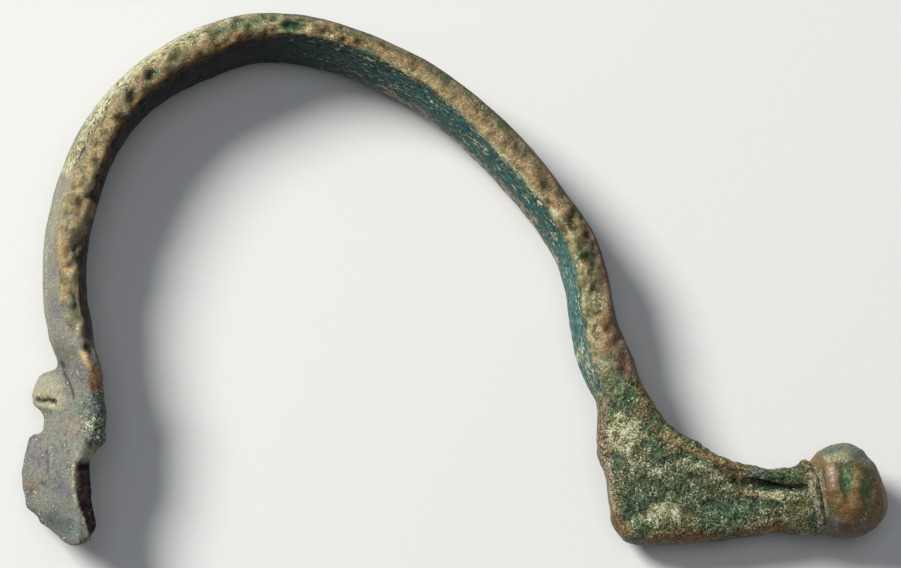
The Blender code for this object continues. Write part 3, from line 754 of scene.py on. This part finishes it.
def band_paint(s, tones, clouds, ridge):
    """Near face of the bow: tan lumps and rims with olive and green between them."""
    wide, mid, small = clouds.wide, clouds.mid, clouds.small
    outer_rim = smooth_step(0.12, 0.45, s.face_out)
    inner_side = smooth_step(0.2, -0.3, s.face_out)
    limb = smooth_step(150.0, 120.0, s.right) * smooth_step(120.0, 170.0, s.down)
    crown = smooth_step(110.0, 60.0, s.down)
    upper = smooth_step(160.0, 110.0, s.down) * smooth_step(350.0, 250.0, s.right)
    fall = smooth_step(330.0, 370.0, s.right) * smooth_step(250.0, 200.0, s.down)
    low_side = smooth_step(225.0, 300.0, s.down) * smooth_step(500.0, 560.0, s.right)
    paint = layered(plain(s, tones["olive"]), tones, (
        ("tan", 0.9 * smooth_step(-0.6, 0.8, mid + ridge - 0.35 + 0.5 * outer_rim)),
        ("verdigris", 0.5 * crown * smooth_step(-0.3, 0.8, wide - 0.3 * mid)),
        ("straw", 0.5 * crown * smooth_step(0.0, 0.9, mid - 0.3 * wide)),
        ("rust", 0.6 * smooth_step(0.0, 1.0, wide + 0.3 * small) * (1.0 - 0.7 * limb)),
        ("straw", 0.35 * upper * smooth_step(-0.6, 0.6, small + 0.4 * mid)),
        ("moss", 0.65 * smooth_step(0.1, 1.0, 0.5 * small - wide)),
        ("olive", 0.6 * fall * (1.0 - inner_side) * smooth_step(-1.0, 0.5, mid)),
        ("moss", 0.8 * fall * smooth_step(0.3, 0.7, s.face_out)),
        ("straw", 0.55 * fall * inner_side * smooth_step(-0.8, 0.6, small + 0.5 * mid)),
        ("grey", 0.55 * limb * smooth_step(-0.2, 0.9, -mid)),
        ("pink", 0.6 * limb * outer_rim * smooth_step(-0.8, 0.4, wide)),
        ("straw", 0.45 * low_side * smooth_step(0.0, 0.9, small + inner_side)),
        ("green", 0.5 * low_side * smooth_step(0.0, 0.9, -mid)),
    ))
    return paint, 0.40 + 0.24 * mid - 0.12 * limb


def outer_paint(s, tones, clouds):
    """Outer face: smooth grey with violet clouds at the left, dark green further on, and purple brown
    painted shade low on the right.
    """
    wide, mid, streak = clouds.wide, clouds.mid, clouds.streak
    left = smooth_step(330.0, 220.0, s.right) * smooth_step(20.0, 60.0, s.down + 0.12 * s.right)
    # painted shade: purple brown low on the right, where the outer face turns away from the light
    purple = smooth_step(190.0, 230.0, s.down) * smooth_step(300.0, 500.0, s.right)
    edge = smooth_step(0.72, 0.95, s.face_out)
    upper = smooth_step(150.0, 95.0, s.down) * smooth_step(260.0, 190.0, s.right)
    upper *= 0.25 + 0.75 * smooth_step(1.5, 4.5, s.high)
    skin = layered(plain(s, tones["grey"]), tones, (
        ("lilac", 0.65 * smooth_step(-0.3, 1.1, wide + 0.4 * streak)),
        ("verdigris", 0.35 * smooth_step(0.3, 1.2, streak)),
        ("pink", 0.30 * smooth_step(0.4, 1.2, 0.3 * mid - streak)),
        ("straw", upper * (0.35 + 0.65 * edge) * smooth_step(-0.4, 0.6, streak)),
    ))
    rest = layered(plain(s, tones["moss"]), tones, (
        ("slate", smooth_step(-0.3, 1.0, wide)),
        ("pink", 0.35 * smooth_step(0.3, 1.1, mid)),
        ("purple", 0.9 * purple * smooth_step(-1.2, 0.2, mid)),
    ))
    # Pale grains crowd the outer edge at the left: pale mineral grains, with painted glints along the
    # edge.
    return mixed(rest, skin, left), 0.30 + left * (0.30 * edge + 0.25 * upper) + 0.1 * streak


def inner_paint(s, tones, clouds):
    """Inner face: near black at the upper left, dark patina deepened by painted shade where the face
    lies in shade, then green, then blue green.
    """
    mid, streak = clouds.mid, clouds.streak
    lit = smooth_step(235.0, 350.0, s.right)
    low = smooth_step(210.0, 300.0, s.down)
    lower_left = smooth_step(90.0, 190.0, s.down)
    crust = smooth_step(3.2, 1.5, s.high - 0.4 * mid - 0.45 * streak)
    crust *= smooth_step(330.0, 400.0, s.right) * smooth_step(330.0, 240.0, s.down)
    # shaded is painted shade over dark patina, near black where the face lies in shade at the upper
    # left; lit is where the light reaches the face.
    shaded = layered(plain(s, blended(tones, dark=0.35)), tones, (
        (blended(tones, slate=0.22), smooth_step(-0.6, 0.8, streak)),
        (blended(tones, rust=0.22, lilac=0.10), 0.8 * lower_left * smooth_step(-0.8, 0.6, mid)),
    ))
    clear = layered(plain(s, tones["teal"]), tones, (
        ("green", 0.55 * smooth_step(-0.2, 1.0, clouds.wide)),
        (blended(tones, slate=0.45), 0.6 * smooth_step(0.1, 1.1, streak + 0.3 * clouds.wide)),
        ("verdigris", 0.45 * smooth_step(0.4, 1.2, 0.3 * clouds.small - streak)),
    ))
    # painted shade: the green grows darker towards the left, where the face turns from the light.
    clear = clear * (0.65 + 0.35 * smooth_step(320.0, 430.0, s.right))[:, None]
    clear = layered(clear, tones, (
        (blended(tones, teal=1.3, lilac=0.35), 0.6 * low),
        (blended(tones, sand=0.45, pink=0.40), 0.85 * crust),
    ))
    grains = lit * (0.50 - 0.08 * low + 0.22 * streak + 0.20 * crust) + 0.12 * (1.0 - lit)
    return mixed(shaded, clear, lit), grains


def head_paint(s, z, tones, clouds):
    """Head: grey violet skin, darker towards the tip."""
    wide, mid, small = clouds.wide, clouds.mid, clouds.small
    paint = layered(plain(s, tones["grey"]), tones, (
        ("lilac", 0.6 * smooth_step(-0.2, 1.0, mid)),
        ("pink", 0.30 * smooth_step(0.3, 1.2, wide + 0.4 * small)),
        ("slate", 0.45 * smooth_step(450.0, 530.0, s.down)),
        ("verdigris", 0.3 * smooth_step(0.4, 1.2, -wide)),
        ("slate", 0.5 * smooth_step(0.5, 1.3, small + 0.4 * mid)),
    ))
    return paint, 0.36 + 0.16 * mid + 0.38 * z.brow


def foot_paint(s, tones, clouds):
    """Foot: mixed dark greens with cream crust, orange brown along the edges."""
    wide, mid, small = clouds.wide, clouds.mid, clouds.small
    side = 1.0 - smooth_step(0.15, 0.55, s.face_near)
    paint = layered(plain(s, tones["moss"]), tones, (
        ("olive", smooth_step(-0.2, 1.0, wide)),
        ("green", 0.85 * smooth_step(-0.2, 0.8, mid - 0.5 * wide)),
        ("slate", 0.25 * smooth_step(0.4, 1.2, 0.4 * small - mid)),
        ("straw", 0.55 * smooth_step(0.5, 1.3, small + 0.5 * mid)),
        ("rust", 0.6 * side * smooth_step(-0.3, 0.8, mid + 0.4 * small)),
        ("pink", 0.5 * side * smooth_step(0.0, 1.0, wide - 0.4 * mid)),
    ))
    return paint, 0.54 + 0.22 * mid


def zoned_paint(s, z, tones, clouds, ridge):
    """Colour and share of grains of the body's parts, each in its own zone."""
    paint, grains = band_paint(s, tones, clouds, ridge)
    covers = (
        (outer_paint(s, tones, clouds), np.clip(1.2 * z.outer * z.bow, 0.0, 1.0)),
        (inner_paint(s, tones, clouds), np.clip(1.3 * z.inner * z.bow, 0.0, 1.0)),
        (head_paint(s, z, tones, clouds), z.head),
        (foot_paint(s, tones, clouds), z.foot),
    )
    for (skin, share), weight in covers:
        paint = mixed(paint, skin, weight)
        grains = grains * (1.0 - weight) + share * weight
    return paint, grains


def streaked_paint(paint, grains, s, z, tones, clouds):
    """Paint and share of grains with the streaks laid over, faint deep on the bow at the left."""
    deep_left = smooth_step(300.0, 220.0, s.right) * smooth_step(4.5, 2.0, s.high + 0.5 * clouds.mid)
    shown = 1.0 - 0.8 * deep_left * z.bow
    rough = 0.4 * clouds.mid + 0.3 * clouds.small
    for corners, half, name, strength, change in BODY_STREAKS:
        mask = ragged(s.stroke(corners, 1.25 * half), rough) * shown
        paint = lay(paint, tones[GROUND.get(name, name)], strength * mask)
        grains = grains + change * mask
    return paint, grains


def broken_paint(paint, grains, s, z, tones, clouds):
    """Paint and share of grains with the dark break at the head and the pale lip along it."""
    lip = s.stroke(BREAK_LIP, 3.6) * z.head * (1.0 - z.wall)
    paint = layered(mixed(paint, plain(s, tones["broken"]), z.wall), tones, (
        ("red", 0.3 * z.wall * smooth_step(0.3, 1.2, clouds.mid)),
        ("straw", 0.8 * lip * smooth_step(-0.6, 0.6, clouds.small)),
    ))
    return paint, (grains + 0.25 * lip) * (1.0 - z.wall) + 0.36 * z.wall


def body_paint(s, z, hollow, tones):
    """Colour of each point and how strongly it is speckled with pale grains."""
    clouds = Clouds(s)
    mid, small = clouds.mid, clouds.small
    ridge = smooth_step(0.01, -0.04, hollow + 0.01 * mid)
    deep = smooth_step(0.005, 0.06, hollow + 0.01 * small)
    paint, grains = zoned_paint(s, z, tones, clouds, ridge)

    # the upper left of the near face is rubbed paler
    pale = z.near * smooth_step(250.0, 130.0, s.down) * smooth_step(330.0, 250.0, s.right)
    paint = paint * (1.0 + 0.4 * pale)[:, None]

    # the edge between the near face and the inner face is red brown, most of all at the left
    left = smooth_step(360.0, 250.0, s.right) * smooth_step(290.0, 210.0, s.down)
    rim = 0.75 * z.rim * (left + 0.35)
    paint = lay(paint, blended(tones, rust=0.5), rim * smooth_step(-0.8, 0.5, mid))

    # the far side is plainer, a dull green grey
    far = lay(plain(s, tones["moss"]), tones["grey"], 0.7 * smooth_step(-0.6, 1.1, clouds.wide))
    paint = mixed(paint, far, z.far)

    paint, grains = patched(paint, grains, s, BODY_PATCHES, 0.35 * mid + 0.2 * small, tones)
    paint, grains = streaked_paint(paint, grains, s, z, tones, clouds)
    paint, grains = broken_paint(paint, grains, s, z, tones, clouds)

    # hollows are painted darker, a painted shade; ridges show rubbed metal
    paint = lay(paint, 0.45 * paint, 0.8 * deep)
    worn = 0.3 * ridge * (z.near * z.bow + 0.35 * z.foot) * (1.0 - z.wall)
    return lay(paint, tones["tan"], worn), np.clip(grains, 0.0, 1.0)


def knob_paint(s, hollow, tones):
    """Colour of each point of the knob and how strongly it is speckled."""
    wide = noise_field(s.place, 1.6 * MM, seed=31, octaves=3)
    mid = noise_field(s.place, 0.7 * MM, seed=32, octaves=3)
    small = noise_field(s.place, 0.3 * MM, seed=33, octaves=2)
    deep = smooth_step(0.004, 0.035, hollow + 0.006 * small)
    ridge = smooth_step(0.004, -0.02, hollow + 0.006 * mid)
    paint = layered(plain(s, tones["olive"]), tones, (
        ("rust", 0.55 * smooth_step(-0.6, 0.9, wide + 0.5 * ridge)),
        ("moss", 0.5 * smooth_step(0.3, 1.2, 0.3 * mid - wide)),
        ("pink", 0.35 * smooth_step(0.4, 1.2, mid)),
    ))
    rough = 0.3 * mid + 0.15 * small
    paint, grains = patched(paint, 0.40 + 0.15 * mid, s, KNOB_PATCHES, rough, tones)
    return lay(paint, tones["moss"], 0.5 * deep), np.clip(grains, 0.0, 1.0)


# Materials

# What the fine mottling multiplies the stored colour by, in its dark and in its light clouds.
DARK_CLOUDS = (0.18, 0.18, 0.18)
LIGHT_CLOUDS = (2.3, 2.2, 2.0)
# Turn of the noise out of line with the flat faces, in radians.
GRID_TURN = (0.7, 0.5, 0.3)


def add_node(tree, kind, **settings):
    node = tree.nodes.new(kind)
    for name, value in settings.items():
        setattr(node, name, value)
    return node


def plug(tree, value, socket):
    """Feed a socket from another one, or set it to a number or to a red, green and blue."""
    if isinstance(value, bpy.types.NodeSocket):
        tree.links.new(value, socket)
    elif isinstance(value, tuple):
        socket.default_value = (*value, 1.0)
    else:
        socket.default_value = value


def maths(tree, operation, first, second):
    """Math node; each side is a socket or a number."""
    node = add_node(tree, "ShaderNodeMath", operation=operation)
    plug(tree, first, node.inputs[0])
    plug(tree, second, node.inputs[1])
    return node.outputs[0]


def mapped(tree, value, low, high, start=0.0, end=1.0):
    """Smooth rise of a value from start to end between low and high."""
    node = add_node(tree, "ShaderNodeMapRange", interpolation_type="SMOOTHSTEP")
    names = ("Value", "From Min", "From Max", "To Min", "To Max")
    for name, given in zip(names, (value, low, high, start, end)):
        plug(tree, given, node.inputs[name])
    return node.outputs["Result"]


def noise_node(tree, **inputs):
    """Noise texture whose inputs are sockets or numbers."""
    node = add_node(tree, "ShaderNodeTexNoise")
    for name, value in inputs.items():
        plug(tree, value, node.inputs[name])
    return node.outputs["Fac"]


def group_tree(name, numbers, result):
    """Node group that reads a vector and the named numbers and puts out one number."""
    tree = bpy.data.node_groups.new(name, "ShaderNodeTree")
    tree.interface.new_socket("Vector", in_out="INPUT", socket_type="NodeSocketVector")
    for label, value in numbers.items():
        socket = tree.interface.new_socket(label, in_out="INPUT", socket_type="NodeSocketFloat")
        socket.default_value = value
    tree.interface.new_socket(result, in_out="OUTPUT", socket_type="NodeSocketFloat")
    given = tree.nodes.new("NodeGroupInput").outputs
    return tree, given, tree.nodes.new("NodeGroupOutput").inputs[result]


def mottle_group():
    """Soft clouds: a mask from noise of a given fineness."""
    numbers = {"Fineness": 4000.0, "Detail": 3.0, "Low": 0.4, "High": 0.6}
    tree, given, mask = group_tree("Mineral Mottle", numbers, "Mask")
    clouds = noise_node(tree, Vector=given["Vector"], Scale=given["Fineness"],
                        Detail=given["Detail"], Roughness=0.6)
    plug(tree, mapped(tree, clouds, given["Low"], given["High"]), mask)
    return tree


def grains_group():
    """Pale grains: ragged specks that grow together as their share rises."""
    tree, given, mask = group_tree("Pale Grains", {"Fineness": 9000.0, "Share": 0.3}, "Mask")
    specks = noise_node(tree, Vector=given["Vector"], Scale=given["Fineness"],
                        Detail=1.5, Roughness=0.65)
    wider = maths(tree, "MULTIPLY", given["Fineness"], 0.3)
    clumps = noise_node(tree, Vector=given["Vector"], Scale=wider, Detail=1.0)
    spread = maths(tree, "MULTIPLY", maths(tree, "SUBTRACT", clumps, 0.5), 0.24)
    value = maths(tree, "ADD", specks, spread)
    start = maths(tree, "SUBTRACT", 0.80, maths(tree, "MULTIPLY", given["Share"], 0.33))
    stop = maths(tree, "ADD", start, 0.04)
    plug(tree, mapped(tree, value, start, stop), mask)
    return tree


def grit_group():
    """Fine rough height made of one noise with several octaves."""
    tree, given, height = group_tree("Fine Grit", {"Fineness": 5000.0}, "Height")
    rough = noise_node(tree, Vector=given["Vector"], Scale=given["Fineness"],
                       Detail=4.0, Roughness=0.65)
    plug(tree, rough, height)
    return tree


GROUP_MAKERS = {"Mineral Mottle": mottle_group, "Pale Grains": grains_group, "Fine Grit": grit_group}


def use_group(tree, name, **inputs):
    """Node that uses a shared group; the group is built the first time it is asked for."""
    node = add_node(tree, "ShaderNodeGroup")
    node.node_tree = bpy.data.node_groups.get(name) or GROUP_MAKERS[name]()
    for label, value in inputs.items():
        plug(tree, value, node.inputs[label])
    return node.outputs[0]


def blend(tree, factor, first, second, kind="MIX"):
    """Colour mix node; each colour is a socket or a plain colour."""
    node = add_node(tree, "ShaderNodeMix", data_type="RGBA", blend_type=kind, clamp_factor=True)
    sockets = {socket.identifier: socket for socket in node.inputs}
    plug(tree, factor, sockets["Factor_Float"])
    plug(tree, first, sockets["A_Color"])
    plug(tree, second, sockets["B_Color"])
    return next(socket for socket in node.outputs if socket.identifier == "Result_Color")


def stored(tree, name, output):
    """Socket that reads an attribute of the piece."""
    return add_node(tree, "ShaderNodeAttribute", attribute_name=name).outputs[output]


def turned(tree, vector):
    """Coordinates turned out of line with the flat faces, so that noise shows no grid there."""
    node = add_node(tree, "ShaderNodeVectorRotate", rotation_type="EULER_XYZ")
    node.inputs["Rotation"].default_value = GRID_TURN
    tree.links.new(vector, node.inputs["Vector"])
    return node.outputs["Vector"]


def patina_material(name, tones, metallic, roughness, speckle, depth):
    """Corroded bronze: stored colours broken up by fine mottling, pale grains and grit."""
    made = bpy.data.materials.new(name)
    made.use_nodes = True
    tree = made.node_tree
    shader = tree.nodes["Principled BSDF"]
    coarse = stored(tree, "coarse", "Fac")
    streaked = stored(tree, "streaked", "Fac")
    place = turned(tree, add_node(tree, "ShaderNodeTexCoord").outputs["Object"])
    flow = turned(tree, stored(tree, "flow", "Vector"))

    def both(group, **inputs):
        """The same mask read in place and along the body, mixed where the skin is streaked."""
        even = use_group(tree, group, Vector=place, **inputs)
        drawn = use_group(tree, group, Vector=flow, **inputs)
        change = maths(tree, "MULTIPLY", maths(tree, "SUBTRACT", drawn, even), streaked)
        return maths(tree, "ADD", even, change)

    clear = both("Mineral Mottle", Fineness=6000.0, Detail=3.0, Low=0.43, High=0.54)
    light = both("Mineral Mottle", Fineness=9500.0, Detail=1.0, Low=0.53, High=0.64)
    grains = both("Pale Grains", Fineness=9000.0, Share=stored(tree, "grains", "Fac"))

    shade = maths(tree, "MULTIPLY", maths(tree, "SUBTRACT", 1.0, clear), coarse)
    base = blend(tree, shade, stored(tree, "patina", "Color"), DARK_CLOUDS, "MULTIPLY")
    base = blend(tree, maths(tree, "MULTIPLY", light, coarse), base, LIGHT_CLOUDS, "MULTIPLY")
    base = blend(tree, maths(tree, "MULTIPLY", grains, speckle), base, tones["cream"])
    plug(tree, base, shader.inputs["Base Color"])
    plug(tree, mapped(tree, light, 0.0, 1.0, roughness + 0.08, roughness - 0.10),
         shader.inputs["Roughness"])
    shader.inputs["Metallic"].default_value = metallic
    shader.inputs["Specular IOR Level"].default_value = 0.25

    grit = use_group(tree, "Fine Grit", Vector=place, Fineness=4800.0)
    height = maths(tree, "ADD", maths(tree, "MULTIPLY", grit, coarse),
                   maths(tree, "MULTIPLY", grains, 0.35))
    bump = add_node(tree, "ShaderNodeBump")
    bump.inputs["Strength"].default_value = 1.0
    bump.inputs["Distance"].default_value = depth
    plug(tree, height, bump.inputs["Height"])
    plug(tree, bump.outputs["Normal"], shader.inputs["Normal"])
    return made


def paper_material(colour):
    made = bpy.data.materials.new("floor_paper")
    made.use_nodes = True
    shader = made.node_tree.nodes["Principled BSDF"]
    shader.inputs["Base Color"].default_value = (*colour, 1.0)
    shader.inputs["Roughness"].default_value = 0.85
    shader.inputs["Specular IOR Level"].default_value = 0.1
    return made


def setting_names(group):
    """Names of the settings in a property group."""
    return [name for name in group.bl_rna.properties.keys() if name not in ("rna_type", "name")]


def tones_of(colours):
    return {name: tuple(getattr(colours, name)) for name in setting_names(colours)}


# Pieces


def body_skin(sizes):
    """Skin of the body with its relief, the surface before the relief, and its zones."""
    piece = fine_skin("brooch_body", "brooch_body_bronze", sizes.skin, rounds=12)
    mesh = piece.data
    set_places(mesh, shifted(Surface(mesh), BODY_SHIFTS))
    s = Surface(mesh)
    folds = np.maximum.reduce([s.stroke(corners, half) for corners, half in BODY_FOLDS])
    set_places(mesh, softened(mesh, folds, rounds=70))
    s = Surface(mesh)
    s.follow_run()
    moves = eased(mesh, trims_of(s) + pushes_of(s, BODY_PUSHES), rounds=24)
    set_places(mesh, eased(mesh, s.place + moves, rounds=2))
    s = Surface(mesh)
    s.follow_run()
    z = Zones(s)
    set_places(mesh, s.place + s.normal * body_relief(s, z, sizes)[:, None])
    set_places(mesh, without_spikes(mesh))
    return piece, s, z


def knob_skin(sizes):
    """Skin of the knob with its relief, and the surface before the relief."""
    piece = fine_skin("foot_knob", "foot_knob_bronze", sizes.knob_skin, rounds=10)
    mesh = piece.data
    s = Surface(mesh)
    set_places(mesh, s.place + eased(mesh, pushes_of(s, KNOB_PUSHES), rounds=120))
    s = Surface(mesh)
    height = 0.8 * sizes.swell * noise_field(s.place, 2.2 * MM, seed=41, octaves=2)
    height += 0.35 * sizes.crust * noise_field(s.place, 0.8 * MM, seed=42, octaves=3)
    height += 0.15 * sizes.crust * noise_field(s.place, 0.3 * MM, seed=43, octaves=2)
    height += END_GROWTH * smooth_step(0.6, 0.95, -s.normal @ AXIS)
    height += marks_of(s, KNOB_DENTS, KNOB_STROKES)
    even = smooth_step(-0.4, 0.0, s.face_near)
    height -= 0.5 * sizes.pit * scattered(s, even, count=60, seed=sizes.seed + 1,
                                          smallest=0.15 * MM, largest=0.4 * MM)
    set_places(mesh, s.place + s.normal * height[:, None])
    return piece, s


def body_texture(s, z):
    """How strongly the fine mottling and grit show, and how far they are drawn into streaks."""
    coarse = 0.25 + 0.22 * z.near * z.bow + 0.45 * z.inner * z.bow + 0.70 * z.foot
    coarse += 0.55 * z.brow + 0.25 * z.head
    limb = smooth_step(115.0, 100.0, s.right) * smooth_step(150.0, 190.0, s.down)
    coarse *= 1.0 - 0.35 * limb
    strip = s.stroke(SPECKLED_STRIP, 11.0) * smooth_step(190.0, 145.0, s.down)
    coarse += (0.95 - coarse) * strip
    streaked = 1.3 * (z.inner + 0.7 * z.outer * (1.0 - 0.9 * limb)) * z.bow + strip
    return np.clip(coarse, 0.0, 1.0), np.clip(streaked, 0.0, 1.0)


def finish_piece(piece, material, node):
    if 2 * len(piece.data.polygons) > MOST_TRIANGLES:
        raise RuntimeError("the skin of %s is too fine" % node)
    piece.data.materials.append(material)
    piece.data.shade_smooth()
    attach(piece, "root")
    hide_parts(node)


class BROOCH_OT_body(bpy.types.Operator):
    """Build the head, bow, foot and catch plate with their corroded skin"""
    bl_idname = "brooch.body"
    bl_label = "Brooch Body"

    def execute(self, context):
        tones = tones_of(context.scene.brooch_colours)
        piece, s, z = body_skin(context.scene.brooch_sizes)
        paint, grains = body_paint(s, z, hollowness(piece.data, rounds=14), tones)
        coarse, streaked = body_texture(s, z)
        store_looks(piece.data, paint, grains, coarse, flow_places(s), streaked)
        material = patina_material("corroded_bronze_skin", tones, metallic=0.12, roughness=0.60,
                                   speckle=0.9, depth=0.14 * MM)
        finish_piece(piece, material, "brooch_body")
        return {"FINISHED"}


class BROOCH_OT_knob(bpy.types.Operator):
    """Build the round knob on the end of the foot"""
    bl_idname = "brooch.knob"
    bl_label = "Foot Knob"

    def execute(self, context):
        tones = tones_of(context.scene.brooch_colours)
        piece, s = knob_skin(context.scene.brooch_sizes)
        paint, grains = knob_paint(s, hollowness(piece.data, rounds=24), tones)
        even, none = np.full(len(s.place), 0.42), np.zeros(len(s.place))
        store_looks(piece.data, paint, grains, even, s.place, none)
        material = patina_material("worn_bronze_skin", tones, metallic=0.2, roughness=0.48,
                                   speckle=0.6, depth=0.06 * MM)
        finish_piece(piece, material, "foot_knob")
        return {"FINISHED"}


# Stage


def add_camera():
    data = bpy.data.cameras.new("camera")
    data.sensor_width = SENSOR
    data.sensor_fit = "HORIZONTAL"
    data.lens = SENSOR * VIEW_DISTANCE / (PICTURE_SIZE[0] * PICTURE_STEP)
    data.clip_start = 0.01
    data.clip_end = 10.0
    camera = bpy.data.objects.new("camera", data)
    bpy.context.scene.collection.objects.link(camera)
    turn = Matrix((RIGHT, UP, BACK)).transposed().to_4x4()
    camera.matrix_world = Matrix.Translation(EYE) @ turn
    bpy.context.scene.camera = camera


def add_light(name, place, size, power, colour):
    data = bpy.data.lights.new(name, "AREA")
    data.shape = "DISK"
    data.size = size
    data.energy = power
    data.color = colour
    light = bpy.data.objects.new(name, data)
    bpy.context.scene.collection.objects.link(light)
    light.rotation_euler = (-Vector(place)).to_track_quat("-Z", "Y").to_euler()
    light.location = place


def add_floor(colour):
    bm = bmesh.new()
    bmesh.ops.create_grid(bm, x_segments=1, y_segments=1, size=1.5)
    mesh = bpy.data.meshes.new("floor")
    bm.to_mesh(mesh)
    bm.free()
    floor = bpy.data.objects.new("floor", mesh)
    bpy.context.scene.collection.objects.link(floor)
    mesh.materials.append(paper_material(colour))


class BROOCH_OT_stage(bpy.types.Operator):
    """Add the pale floor, the soft lights and the camera"""
    bl_idname = "brooch.stage"
    bl_label = "Stage"

    def execute(self, context):
        add_floor(context.scene.brooch_colours.floor)
        add_light("key_softbox", place=(-0.60, 0.30, 0.56), size=0.34, power=15.5,
                  colour=(1.0, 0.98, 0.95))
        add_light("overhead_softbox", place=(-0.05, -0.1, 0.8), size=0.6, power=1.6,
                  colour=(0.92, 0.96, 1.0))
        world = bpy.data.worlds.new("studio")
        world.use_nodes = True
        sky = world.node_tree.nodes["Background"]
        sky.inputs["Color"].default_value = (0.85, 0.9, 1.0, 1.0)
        sky.inputs["Strength"].default_value = 0.18
        context.scene.world = world
        context.scene.view_settings.view_transform = "Standard"
        add_camera()
        return {"FINISHED"}


class BROOCH_PT_parts(bpy.types.Panel):
    """Steps that build the brooch"""
    bl_label = "Brooch"
    bl_idname = "BROOCH_PT_parts"
    bl_space_type = "VIEW_3D"
    bl_region_type = "UI"
    bl_category = "Brooch"

    def draw(self, context):
        column = self.layout.column()
        for step in STEPS:
            column.operator("brooch." + step)
        for group in (context.scene.brooch_sizes, context.scene.brooch_colours):
            for name in setting_names(group):
                column.prop(group, name)


STEPS = ("body", "knob", "stage")
CLASSES = (BroochSizes, BroochColours, BROOCH_OT_body, BROOCH_OT_knob, BROOCH_OT_stage, BROOCH_PT_parts)


def register():
    for made in CLASSES:
        bpy.utils.register_class(made)
    bpy.types.Scene.brooch_sizes = PointerProperty(type=BroochSizes)
    bpy.types.Scene.brooch_colours = PointerProperty(type=BroochColours)


def unregister():
    del bpy.types.Scene.brooch_colours
    del bpy.types.Scene.brooch_sizes
    for made in reversed(CLASSES):
        bpy.utils.unregister_class(made)


def main():
    register()
    for step in STEPS:
        getattr(bpy.ops.brooch, step)()


if __name__ == "__main__":
    main()
